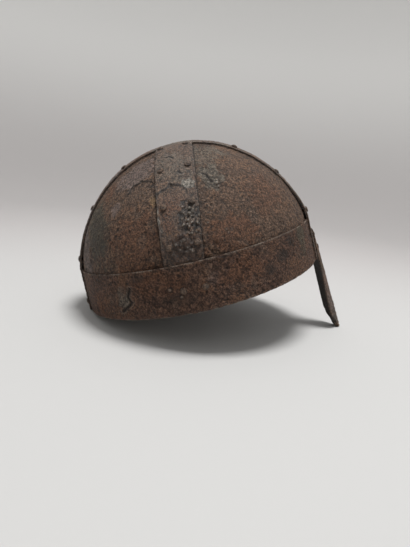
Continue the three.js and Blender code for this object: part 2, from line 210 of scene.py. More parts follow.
@dataclass(frozen=True)
class Shell:
    """The surface that the straps lie on, in millimetres, in the helmet's own axes."""

    length: float = 232.0
    width: float = 204.8
    height: float = 139.5
    band_height: float = 42.5
    plan_power: float = 1.862
    crown_shift: float = 0.041
    flare_front: float = 0.034
    flare_back: float = 0.029
    flare_side: float = 0.0315
    front_powers: tuple[float, float] = (1.523, 1.998)
    back_powers: tuple[float, float] = (1.506, 2.23)
    side_powers: tuple[float, float] = (1.897, 1.919)
    far_out: float = 300.0
    halvings: int = 30

    def plan(self, up: Array) -> tuple[Array, Array, Array, Array]:
        """The plan's reach at a height: widening down the brow, drawn in by powers on the dome.

        Args:
            up: Heights above the rim.

        Returns:
            The reach to the front, back and side, and how far forward the middle is.
        """
        down = np.clip(1.0 - up / self.band_height, 0.0, None)
        rise = (up - self.band_height) / (self.height - self.band_height)
        rise = np.clip(rise, 0.0, 1.0 - 1e-9)

        def reach(half: float, flare: float, powers: tuple[float, float]) -> Array:
            """Half a size, flared below and drawn in above."""
            return half * (1.0 + flare * down) * (1.0 - rise ** powers[0]) ** (1.0 / powers[1])

        return (
            reach(self.length / 2, self.flare_front, self.front_powers),
            reach(self.length / 2, self.flare_back, self.back_powers),
            reach(self.width / 2, self.flare_side, self.side_powers),
            self.crown_shift * np.clip(up - self.band_height, 0.0, None),
        )

    def beyond(self, points: Array) -> Array:
        """Adds the plan's powered reaches and takes away 1.

        Args:
            points: Places, with the last axis x, y and z.

        Returns:
            A number for each place: below 0 inside the shell and above 0 outside.
        """
        front, back, side, middle = self.plan(points[..., 2])
        forward = points[..., 0] - middle
        reach = np.where(forward > 0, front, back)
        power = self.plan_power
        return (np.abs(forward) / reach) ** power + (np.abs(points[..., 1]) / side) ** power - 1.0

    def meet(self, starts: Array, directions: Array) -> Array:
        """Finds where lines from inside meet the shell, by halving the stretch between.

        Args:
            starts: Places inside the shell.
            directions: The lines' unit directions.

        Returns:
            The places on the shell.
        """
        inside = np.zeros(starts.shape[:-1])
        outside = np.full(starts.shape[:-1], self.far_out)
        for _ in range(self.halvings):
            middle = (inside + outside) / 2
            points = starts + directions * middle[..., None]
            within = (points[..., 2] < self.height) & (self.beyond(points) < 0)
            inside = np.where(within, middle, inside)
            outside = np.where(within, outside, middle)
        return starts + directions * inside[..., None]

    def outward(self, points: Array) -> Array:
        """Takes the slope of the shell's formula, kept level on the brow so the rim stays flat.

        Args:
            points: Places on the shell.

        Returns:
            The unit way out at each place.
        """
        step = 0.01
        here = self.beyond(points)
        slope = np.stack(
            [
                (self.beyond(points + [step, 0, 0]) - here) / step,
                (self.beyond(points + [0, step, 0]) - here) / step,
                (here - self.beyond(points - [0, 0, step])) / step,
            ],
            axis=-1,
        )
        slope[..., 2] = np.where(points[..., 2] > self.band_height + step, slope[..., 2], 0.0)
        return slope / np.linalg.norm(slope, axis=-1, keepdims=True)


@dataclass(frozen=True)
class Layers:
    """How far each face lies outside the shell at a point of it, in millimetres."""

    shell: Shell
    plate: float = 1.5
    strap: float = 1.7
    band: float = 1.7
    gap: float = 0.3
    band_top_lift: tuple[float, float] = (2.0, 0.9)
    band_lift_change: tuple[float, float] = (60.0, 45.0)
    dome_lift: float = 2.3
    dome_lift_height: float = 45.0
    crest_step_height: float = 40.0
    crest_width: float = 43.2
    side_strap_width: float = 33.7
    side_strap_middle: float = -7.0
    side_strap_lean: float = 0.12
    dent_margin: float = 8.0
    dent_slope: float = 18.0

    def strap_middle(self, up: Array) -> Array:
        """How far forward a side strap's middle line is at a height."""
        return self.side_strap_middle + self.side_strap_lean * (up - self.shell.band_height)

    def rising(self, points: Array, behind_band: Array, on_dome: float) -> Array:
        """Changes a lift evenly from the brow's to the dome's.

        Args:
            points: Places on the shell.
            behind_band: The lift at each place behind the band.
            on_dome: The lift on the dome.

        Returns:
            The lift at each place.
        """
        share = ease((points[..., 2] - self.shell.band_height) / self.dome_lift_height)
        return blend(behind_band, on_dome, share)

    def band_outer(self, points: Array) -> Array:
        """The brow band's outer face, more proud at its top in front than behind.

        Args:
            points: Places on the shell.

        Returns:
            How far outside the shell the face lies.
        """
        height = self.shell.band_height
        start, length = self.band_lift_change
        lift = blend(*self.band_top_lift, ease((-points[..., 0] - start) / length))
        return lift * np.minimum(points[..., 2], height) / height

    def band_inner(self, points: Array) -> Array:
        """The brow band's inner face."""
        return self.band_outer(points) - self.band

    def strap_outer(self, points: Array) -> Array:
        """A side strap's outer face, tucked in behind the band."""
        return self.rising(points, self.band_inner(points) - self.gap, self.dome_lift)

    def strap_inner(self, points: Array) -> Array:
        """A side strap's inner face."""
        return self.strap_outer(points) - self.strap

    def crest_inner(self, points: Array) -> Array:
        """The crest strap's inner face, which runs out over the band at both ends."""
        down = ease((points[..., 2] - self.shell.band_height) / self.crest_step_height)
        return blend(self.band_outer(points) + self.gap, self.dome_lift - self.strap, down)

    def crest_outer(self, points: Array) -> Array:
        """The crest strap's outer face."""
        return self.crest_inner(points) + self.strap

    def plate_outer(self, points: Array) -> Array:
        """The plates' outer face, against the band but dented behind each side strap's foot.

        Args:
            points: Places on the shell.

        Returns:
            How far outside the shell the face lies.
        """
        aside = np.abs(points[..., 0] - self.strap_middle(points[..., 2]))
        clear = aside - self.side_strap_width / 2 - self.dent_margin
        on_dome = self.dome_lift - self.strap - self.gap
        against = self.rising(points, self.band_inner(points) - self.gap, on_dome)
        dented = self.strap_inner(points) - self.gap
        return blend(dented, against, ease(clear / self.dent_slope))

    def plate_inner(self, points: Array) -> Array:
        """The plates' inner face."""
        return self.plate_outer(points) - self.plate


class Place:
    """The helmet's place in the frame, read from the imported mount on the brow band's rim."""

    def __init__(self, record: dict[str, Any]) -> None:
        """Takes the lean and the offset from the mount named brow_rim.

        Args:
            record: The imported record, with its mounts.
        """
        mount = next(one for one in record["mounts"] if one["name"] == "brow_rim")
        self.lean = math.atan2(-mount["axis"][1], -mount["axis"][2])
        self.offset = np.array([0.0, mount["pos_m"][1], mount["pos_m"][2]])

    def turned(self, vectors: Array) -> Array:
        """Turns directions from the helmet's axes into the frame's: front to -Y, then leant back.

        Args:
            vectors: Directions in the helmet's axes.

        Returns:
            The same directions in the frame's axes.
        """
        forward, side, up = vectors[..., 0], vectors[..., 1], vectors[..., 2]
        sine, cosine = math.sin(self.lean), math.cos(self.lean)
        return np.stack(
            [side, up * sine - forward * cosine, forward * sine + up * cosine], axis=-1
        )

    def placed(self, points: Array) -> Array:
        """Points in millimetres in the helmet's axes, as metres in the frame."""
        return self.turned(points) / 1000.0 + self.offset


# ---- Rust: relief, stains, and painted shade and light ----


class Tone(Enum):
    """The stains, painted shade and painted highlights that a finish tells apart, each stored on the
    mesh under its name.
    """

    OLIVE = "olive"
    OCHRE = "ochre"
    # Grey stains, and painted sheen on the top.
    GREY = "grey"
    # Real dark stains, and painted shade in grooves, hollows, under steps, beside straps, round rivets
    # and on inner faces.
    DARK = "dark"
    # Lilac stains, and painted sheen on the rear of the top.
    RED = "red"
    # Pale crust stains, and painted glints on crust tops and along a strap's edge.
    PALE = "pale"
    LILAC = "lilac"
    RAW = "raw"
    # The relief's height, which the finish paints as shade: low parts darker, high parts lighter.
    HIGH = "high"
    # Wear, and painted highlights on the band's edges, rivet heads, blisters and crust tops.
    WORN_AND_HIGHLIGHT = "worn_and_highlight"


@dataclass
class Skin:
    """Points of a face, what rust does to them, and the shade and light painted on them."""

    points: Array
    outward: Array
    lift: Array = field(init=False)
    tones: dict[Tone, Array] = field(init=False)

    def __post_init__(self) -> None:
        """Starts with an even, unstained face."""
        self.lift = np.zeros(self.points.shape[:-1])
        self.tones = {tone: np.zeros(self.points.shape[:-1]) for tone in Tone}

    def tint(self, tone: Tone, weight: Array) -> None:
        """Lays a tone over what is there, the stronger of the two; tones are stains, painted shade and
        painted light.
        """
        self.tones[tone] = np.maximum(self.tones[tone], np.clip(weight, 0.0, 1.0))

    def oval(self, at: Point, reach: tuple[float, float]) -> tuple[Array, Array]:
        """How far out in an oval patch each point is.

        Args:
            at: The patch's middle, on the face or a little off it.
            reach: The patch's size fore and aft, and up and down the face.

        Returns:
            The distance from the middle, 1 at the patch's edge, and the way up the face.
        """
        gap = self.along_face(self.points - np.array(at))
        climb = np.copysign(np.hypot(gap[..., 1], gap[..., 2]), gap[..., 2])
        return np.hypot(gap[..., 0] / reach[0], climb / reach[1]), climb

    def along_face(self, gap: Array) -> Array:
        """Takes away the part of a way that leads straight out of the face, up to a limit.

        Args:
            gap: The ways from a place to the points.

        Returns:
            The ways along the face.
        """
        straight = np.clip(np.einsum("...i,...i", gap, self.outward), -NEAR_FACE, NEAR_FACE)
        return gap - straight[..., None] * self.outward


@dataclass(frozen=True)
class Stain:
    """A patch of one tone with a ragged edge."""

    tone: Tone
    at: Point
    reach: tuple[float, float]
    strength: float = 1.0

    def lay(self, skin: Skin, noise: Noise) -> None:
        """Strongest in the middle, and gone a little past the reach.

        Args:
            skin: The face to work on.
            noise: What makes the patch ragged.
        """
        spread, _ = skin.oval(self.at, self.reach)
        spread += 0.45 * noise.layered(skin.points, 9.0, 4)
        skin.tint(self.tone, self.strength * ease((1.3 - spread) / 0.8))


@dataclass(frozen=True)
class Flake:
    """A patch where the crust has come off: a step down at its top that fades out below."""

    at: Point
    reach: tuple[float, float]
    depth: float = 0.55
    step_at: float = 0.96
    step_width: float = 0.065
    lip_at: float = 1.06
    lip_width: float = 0.06
    lip_height: float = 0.18

    def lay(self, skin: Skin, noise: Noise) -> None:
        """Sinks the face inside a ragged oval, with a dark line of painted shadow under the step and a
        pale lip along it.

        Args:
            skin: The face to work on.
            noise: What makes the oval ragged.
        """
        spread, climb = skin.oval(self.at, self.reach)
        spread += 0.2 * noise.layered(skin.points, 7.0, 3)
        inside = ease((1.0 - spread) / 0.09)
        kept = ease(0.62 + 0.75 * climb / self.reach[1])
        skin.lift -= self.depth * inside * kept
        skin.tint(Tone.RAW, inside * (0.25 + 0.75 * kept))
        # The dark line under the step is a painted shadow.
        seam = bell((spread - self.step_at) / self.step_width)
        skin.tint(Tone.DARK, seam * kept)
        lip = bell((spread - self.lip_at) / self.lip_width)
        skin.lift += self.lip_height * lip * kept
        skin.tint(Tone.WORN_AND_HIGHLIGHT, 0.2 * lip * kept)


@dataclass(frozen=True)
class Crack:
    """A fine dark groove along a few points."""

    path: tuple[Point, ...]
    width: float = 1.0
    depth: float = 1.0

    def lay(self, skin: Skin, noise: Noise) -> None:
        """Sinks the face by a bell curve of the distance to the nearest stretch.

        Args:
            skin: The face to work on.
            noise: What makes the groove wander.
        """
        points = skin.points + 0.8 * noise.smooth(skin.points, 4.0)[..., None]
        nearest = np.full(points.shape[:-1], 1e9)
        for start, end in zip(self.path, self.path[1:]):
            first, way = np.array(start), np.array(end) - np.array(start)
            share = np.clip(((points - first) @ way) / (way @ way), 0.0, 1.0)
            gap = skin.along_face(points - first - share[..., None] * way)
            nearest = np.minimum(nearest, np.linalg.norm(gap, axis=-1))
        skin.lift -= self.depth * bell(nearest / self.width)
        # The groove's darkness is painted shade.
        skin.tint(Tone.DARK, ease(1.9 - 1.2 * nearest / self.width))
        skin.tint(Tone.WORN_AND_HIGHLIGHT, 0.5 * bell((nearest / self.width - 2.2) / 0.5))


@dataclass(frozen=True)
class Blister:
    """A small round bump of rust."""

    at: Point
    radius: float
    height: float

    def lay(self, skin: Skin, noise: Noise) -> None:
        """Raises the face by a bell curve, worn light on top with a painted highlight, and with
        painted shade round its foot.

        Args:
            skin: The face to work on.
            noise: Not needed for so small a bump; every feature is laid in the same way.
        """
        gap = skin.along_face(skin.points - np.array(self.at))
        gap = np.linalg.norm(gap, axis=-1) / self.radius
        bump = bell(gap)
        skin.lift += self.height * bump
        skin.tint(Tone.WORN_AND_HIGHLIGHT, ease((bump - 0.45) / 0.4))
        # The dark ring round the foot is painted shade.
        skin.tint(Tone.DARK, 0.85 * bell((gap - 1.3) / 0.35))


@dataclass(frozen=True)
class Pebbles:
    """A patch of lumpy crust: grey tops with painted glints, and painted shade in the hollows between
    them.
    """

    at: Point
    reach: tuple[float, float]
    size: float = 2.6
    height: float = 2.0
    shine: float = 1.0
    hollow_shade: float = 1.0

    def lay(self, skin: Skin, noise: Noise) -> None:
        """Raises domes round scattered points, at two sizes, inside a ragged oval.

        Args:
            skin: The face to work on.
            noise: What scatters the domes and makes the oval ragged.
        """
        spread, _ = skin.oval(self.at, self.reach)
        spread += 0.3 * noise.layered(skin.points, 6.0, 3)
        inside = ease((1.2 - spread) / 0.35)
        coarse, number = noise.cells(skin.points, self.size)
        fine, _ = noise.cells(skin.points + 17.0, 0.5 * self.size)
        dome = np.clip(1.0 - 1.35 * coarse, 0.0, 1.0) * (0.45 + 0.55 * number)
        dome += 0.35 * np.clip(1.0 - 1.3 * fine, 0.0, 1.0)
        skin.lift += inside * self.height * (dome - 0.45)
        # Painted shade in the hollows, and painted glints on the higher tops.
        skin.tint(Tone.DARK, self.hollow_shade * inside * ease((0.42 - dome) / 0.25))
        skin.tint(Tone.PALE, self.shine * inside * ease((dome - 0.52) / 0.2))
        skin.tint(Tone.WORN_AND_HIGHLIGHT, self.shine * inside * ease((dome - 0.7) / 0.15))


@dataclass(frozen=True)
class Ground:
    """The even rust of a whole face: hammer swell, grain, pits and thin lost scales."""

    swell: float = 0.22
    grain: float = 0.30
    pits: float = 0.30
    scales: float = 0.16
    swell_size: float = 34.0
    grain_sizes: tuple[float, float, float] = (3.1, 1.9, 1.25)
    region_size: float = 26.0
    pit_spacing: float = 5.2
    scale_size: float = 17.0

    def lay(self, skin: Skin, noise: Noise, other: Noise) -> None:
        """Adds slow swell, three sizes of grain, scattered pits and shallow plateaus, and stores the
        relief's height for painted relief shade.

        Args:
            skin: The face to work on.
            noise: The unevenness for swell and grain.
            other: The unevenness for pits and scales.
        """
        points = skin.points
        skin.lift += self.swell * noise.layered(points, self.swell_size, 2)
        coarse, middle, fine = self.grain_sizes
        grain = noise.smooth(points, coarse) + 0.9 * other.smooth(points, middle)
        grain += 0.55 * noise.smooth(points, fine)
        region = 0.65 + 0.7 * ease(0.5 + other.layered(points, self.region_size, 2))
        skin.lift += self.grain * grain * region
        gap, number = other.cells(points, self.pit_spacing)
        radius = 0.10 + 0.22 * number
        pit = ease((radius - gap) / 0.10) * (number > 0.45)
        skin.lift -= self.pits * pit * (0.4 + 0.6 * number)
        plateau = other.layered(points, self.scale_size, 4)
        lost = ease((plateau - 0.42) / 0.035)
        skin.lift -= self.scales * lost
        # A dark line along each lost scale's step is painted shadow. The pits are darkened as well.
        edge = bell((plateau - 0.43) / 0.022)
        skin.tint(Tone.DARK, 0.45 * edge + 0.55 * pit)
        skin.tint(Tone.RAW, 0.5 * lost)
        # Stored height for painted relief shade: high grain lighter, low grain and pits darker.
        height = 0.5 + 0.55 * grain * region - 0.5 * pit
        skin.tones[Tone.HIGH] = np.clip(height, 0.0, 1.0)


Feature = Stain | Flake | Crack | Blister | Pebbles


# ---- Meshes ----


class Maker:
    """Makes the pieces' meshes and hands them to the frame."""

    relief: tuple[float, float] = (-1.3, 1.1)
    seeds: tuple[int, int] = (7, 23)

    def __init__(self, shell: Shell, layers: Layers, place: Place) -> None:
        """Keeps what every piece needs.

        Args:
            shell: The surface that the straps lie on.
            layers: How far outside it each face lies.
            place: What sets the pieces down in the frame.
        """
        self.shell = shell
        self.layers = layers
        self.place = place
        self.noise, self.other = (Noise(seed) for seed in self.seeds)
        self.low, self.high = (np.array(corner) for corner in CAD_BOX)

    def weather(
        self, points: Array, outward: Array, ground: Ground, features: Sequence[Feature]
    ) -> Skin:
        """Rusts a face.

        Args:
            points: The face's base points.
            outward: The way out at each point.
            ground: The even rust.
            features: The face's own damage and stains.

        Returns:
            The skin with all of them laid on.
        """
        skin = Skin(points, outward)
        ground.lay(skin, self.noise, self.other)
        for feature in features:
            feature.lay(skin, self.noise)
        return skin

    def plate(
        self,
        name: str,
        finish: "RustFinish",
        piece: Any,
        outer: Array,
        inner: Array,
        edge: Array,
        front: tuple[Array, Array],
        back: tuple[Array, Array],
        closed: bool,
    ) -> None:
        """Makes a closed sheet: each face is its base moved out, the outer one with its rust.

        Args:
            name: The piece's name, which is also its construction node's.
            finish: The piece's finish.
            piece: The piece's sizes, with its ground rust, its features and its edge's radius.
            outer: Rows of base points for the outer face.
            inner: Rows of base points for the inner face.
            edge: How far each outer point is from the nearest edge.
            front: The way out at each outer point, and how far out the face lies.
            back: The same for the inner face.
            closed: Whether the rows go all the way round.
        """
        skin = self.weather(outer, front[0], piece.ground, piece.features)
        skin.lift -= rounding(edge, piece.edge)
        uneven = 0.5 + self.noise.layered(outer, 6.0, 3)
        # Lighter along the edges: wear, and on the band a painted highlight along its edges.
        skin.tint(Tone.WORN_AND_HIGHLIGHT, piece.edge_wear_and_highlight * bell(edge / 0.9) * uneven)
        # A dark line just inside the edges: dirt and painted shade.
        skin.tint(Tone.DARK, piece.edge_dirt_and_shade * bell((edge - 0.9) / 0.7) * uneven)
        # Dirt and painted shade where other pieces lie on this one.
        piece.soil_and_shade(skin, self.layers)
        hidden = self.weather(inner, back[0], Ground(grain=0.0, pits=0.0), ())
        # The inner faces are darkened: painted shade.
        hidden.tint(Tone.DARK, np.full(back[1].shape, piece.inner_dark))
        lift = skin.lift.clip(*self.relief)
        face = outer + front[0] * (front[1] + lift)[..., None]
        under = inner + back[0] * back[1][..., None]
        points = np.concatenate([face.reshape(-1, 3), under.reshape(-1, 3)])
        tones = {
            tone: np.concatenate([skin.tones[tone].ravel(), hidden.tones[tone].ravel()])
            for tone in Tone
        }
        faces = sheet_faces(outer.shape[0], outer.shape[1], inner.shape[1], closed)
        faces = facing_out(points, faces, front[0])
        self.finish(name, points, faces, tones, finish, [name])

    def sheet(
        self,
        name: str,
        finish: "RustFinish",
        piece: Any,
        outer: Array,
        inner: Array,
        edge: Array,
        outer_layer: Callable[[Array], Array],
        inner_layer: Callable[[Array], Array],
        closed: bool,
    ) -> None:
        """Makes a closed sheet whose faces lie along the shell.

        Args:
            name: The piece's name, which is also its construction node's.
            finish: The piece's finish.
            piece: The piece's sizes.
            outer: Rows of points on the shell for the outer face.
            inner: Rows of points on the shell for the inner face.
            edge: How far each outer point is from the nearest edge.
            outer_layer: How far outside the shell the outer face lies.
            inner_layer: The same for the inner face.
            closed: Whether the rows go all the way round.
        """
        front = (self.shell.outward(outer), outer_layer(outer))
        back = (self.shell.outward(inner), inner_layer(inner))
        self.plate(name, finish, piece, outer, inner, edge, front, back, closed)

    def finish(
        self,
        name: str,
        points: Array,
        faces: Sequence[Array],
        tones: dict[Tone, Array],
        finish: "RustFinish",
        nodes: Sequence[str],
    ) -> bpy.types.Object:
        """Puts points and faces into a mesh and makes it a dressed piece on the body.

        Args:
            name: The piece's name.
            points: Points in the helmet's axes, in millimetres.
            faces: Arrays of corners, one for each number of corners.
            tones: What is stored on the points.
            finish: The piece's finish.
            nodes: The construction nodes that the piece stands for.

        Returns:
            The new object.
        """
        placed = np.clip(self.place.placed(points), self.low, self.high)
        mesh = bpy.data.meshes.new(name)
        corners = [corner for block in faces for corner in block.tolist()]
        mesh.from_pydata(placed.tolist(), [], corners)
        mesh.polygons.foreach_set("use_smooth", np.ones(len(corners), dtype=bool))
        for tone, values in tones.items():
            stored = mesh.attributes.new(tone.value, "FLOAT", "POINT")
            stored.data.foreach_set("value", values.astype(np.float32).ravel())
        mesh.materials.append(finish.material())
        mesh.update()
        piece = bpy.data.objects.new(name, mesh)
        bpy.context.scene.collection.objects.link(piece)
        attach(piece, "root")
        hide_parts(*nodes)
        LOG.info("%s: %d points, %d faces", name, len(points), len(corners))
        return piece


def quads(rows: int, columns: int, start: int, closed: bool) -> Array:
    """The four-cornered faces of a grid of points stored row by row.

    Args:
        rows: Rows of points.
        columns: Points in a row.
        start: The number of the grid's first point.
        closed: Whether the last row joins the first.

    Returns:
        One row of four corners for each face.
    """
    last = rows if closed else rows - 1
    row, column = np.meshgrid(np.arange(last), np.arange(columns - 1), indexing="ij")
    after = (row + 1) % rows
    corners = [
        row * columns + column,
        row * columns + column + 1,
        after * columns + column + 1,
        after * columns + column,
    ]
    return start + np.stack([corner.ravel() for corner in corners], axis=-1)


def wall(first: Array, second: Array) -> list[Array]:
    """Faces between two lines of points, the second with as many points or fewer.

    Args:
        first: The numbers of the first line's points.
        second: The numbers of the second line's points.

    Returns:
        The four-cornered and the three-cornered faces.
    """
    share = np.linspace(0, len(second) - 1, len(first)).round().astype(int)
    near, far = second[share[:-1]], second[share[1:]]
    apart = near != far
    four = np.stack([first[:-1], first[1:], far, near], axis=-1)[apart]
    three = np.stack([first[:-1], first[1:], near], axis=-1)[~apart]
    return [four, three]


def sheet_faces(rows: int, outer: int, inner: int, closed: bool) -> list[Array]:
    """The faces of a sheet: an outer grid, an inner grid turned round, and the edges between.

    Args:
        rows: Rows of points in both grids.
        outer: Points in a row of the outer grid.
        inner: Points in a row of the inner grid.
        closed: Whether the sheet is a hoop along its rows.

    Returns:
        Arrays of corners.
    """
    start = rows * outer
    first = np.arange(rows) * outer
    second = start + np.arange(rows) * inner
    if closed:
        first, second = np.append(first, first[0]), np.append(second, second[0])
    faces = [
        quads(rows, outer, 0, closed),
        quads(rows, inner, start, closed)[:, ::-1],
        *wall(first[::-1], second[::-1]),
        *wall(first + outer - 1, second + inner - 1),
    ]
    if not closed:
        near = np.arange(outer)
        back = start + np.arange(inner)
        faces += wall(near, back)
        faces += wall(near[::-1] + (rows - 1) * outer, back[::-1] + (rows - 1) * inner)
    return faces


def facing_out(points: Array, faces: list[Array], outward: Array) -> list[Array]:
    """Turns all the faces round if the first ones look against the outward directions.

    Args:
        points: The mesh's points.
        faces: Arrays of corners.
        outward: The way out at the outer face's points.

    Returns:
        The faces, looking outward.
    """
    sample = faces[0][len(faces[0]) // 2]
    normal = np.cross(points[sample[1]] - points[sample[0]], points[sample[3]] - points[sample[0]])
    if normal @ outward.reshape(-1, 3)[sample[0]] < 0:
        return [block[:, ::-1] for block in faces]
    return faces


# ---- Finishes ----


class Value:
    """A number that varies over a surface; sums on it add Math nodes to its graph."""

    def __init__(self, graph: "Graph", socket: bpy.types.NodeSocket) -> None:
        """Wraps an output socket."""
        self.graph = graph
        self.socket = socket

    def math(self, operation: str, *inputs: "Value | float") -> "Value":
        """Adds a Math node.

        Args:
            operation: The node's operation.
            inputs: What it works on.

        Returns:
            Its result.
        """
        settings = {"operation": operation}
        node = self.graph.node("ShaderNodeMath", settings, dict(enumerate(inputs)))
        return Value(self.graph, node.outputs[0])

    def __add__(self, other: "Value | float") -> "Value":
        """The sum."""
        return self.math("ADD", self, other)

    def __sub__(self, other: "Value | float") -> "Value":
        """The difference."""
        return self.math("SUBTRACT", self, other)

    def __rsub__(self, other: float) -> "Value":
        """The difference the other way round."""
        return self.math("SUBTRACT", other, self)

    def __mul__(self, other: "Value | float") -> "Value":
        """The product."""
        return self.math("MULTIPLY", self, other)

    __radd__ = __add__
    __rmul__ = __mul__

    def step(self, low: float, high: float) -> "Value":
        """Changes with ease from 0 at the low number to 1 at the high one.

        Args:
            low: Where it starts.
            high: Where it ends.

        Returns:
            The changed number.
        """
        settings = {"interpolation_type": "SMOOTHSTEP"}
        node = self.graph.node("ShaderNodeMapRange", settings, {0: self, 1: low, 2: high})
        return Value(self.graph, node.outputs[0])

    def held(self) -> "Value":
        """The number kept from 0 to 1."""
        return self.math("MINIMUM", self.math("MAXIMUM", self, 0.0), 1.0)


class Graph:
    """A material's nodes."""

    def __init__(self, name: str) -> None:
        """Starts an empty material.

        Args:
            name: The material's name.
        """
        self.material = bpy.data.materials.new(name)
        self.material.use_nodes = True
        self.tree = self.material.node_tree
        self.tree.nodes.clear()
        coordinates = self.node("ShaderNodeTexCoord", {}, {})
        self.place = coordinates.outputs["Object"]

    def node(
        self, kind: str, settings: dict[str, Any], inputs: dict[str | int, Any]
    ) -> bpy.types.Node:
        """Adds a node.

        Args:
            kind: The node's type.
            settings: Its properties, set first.
            inputs: Values or links by socket name or number.

        Returns:
            The new node.
        """
        made = self.tree.nodes.new(kind)
        for name, value in settings.items():
            setattr(made, name, value)
        for key, value in inputs.items():
            socket = made.inputs[key]
            if isinstance(value, Value):
                self.tree.links.new(value.socket, socket)
            elif isinstance(value, bpy.types.NodeSocket):
                self.tree.links.new(value, socket)
            elif socket.type == "RGBA":
                socket.default_value = (*value, 1.0)
            else:
                socket.default_value = value
        return made

    def noise(self, scale: float, detail: float, roughness: float = 0.6) -> Value:
        """Adds fractal noise.

        Args:
            scale: How many cells there are to a metre.
            detail: How many layers.
            roughness: How strong each finer layer is.

        Returns:
            A number from 0 to 1.
        """
        inputs = {"Vector": self.place, "Scale": scale, "Detail": detail}
        inputs["Roughness"] = roughness
        node = self.node("ShaderNodeTexNoise", {"noise_dimensions": "3D"}, inputs)
        return Value(self, node.outputs[0])

    def specks(self, scale: float) -> tuple[Value, Value]:
        """Adds scattered points.

        Args:
            scale: How many of them there are to a metre.

        Returns:
            The distance to the nearest one, and a number of its own.
        """
        inputs = {"Vector": self.place, "Scale": scale}
        node = self.node("ShaderNodeTexVoronoi", {"feature": "F1"}, inputs)
        tint = self.node("ShaderNodeSeparateColor", {}, {0: node.outputs["Color"]})
        return Value(self, node.outputs["Distance"]), Value(self, tint.outputs[0])

    def stored(self, tone: Tone) -> Value:
        """A tone stored on the mesh."""
        node = self.node("ShaderNodeAttribute", {"attribute_name": tone.value}, {})
        return Value(self, node.outputs["Fac"])

    def mix(self, first: Any, second: Any, share: Value | float, kind: str = "MIX") -> Any:
        """Mixes two colours, or joins them by another kind of blend.

        Args:
            first: A colour or a colour output.
            second: The same, laid over the first.
            share: How much of the second there is.
            kind: The kind of blend.

        Returns:
            The colour output.
        """
        settings = {"data_type": "RGBA", "blend_type": kind}
        node = self.node("ShaderNodeMix", settings, {0: share, 6: first, 7: second})
        return node.outputs[2]

    def grey(self, value: Value) -> Any:
        """A number as a grey colour."""
        node = self.node("ShaderNodeCombineColor", {}, {0: value, 1: value, 2: value})
        return node.outputs[0]


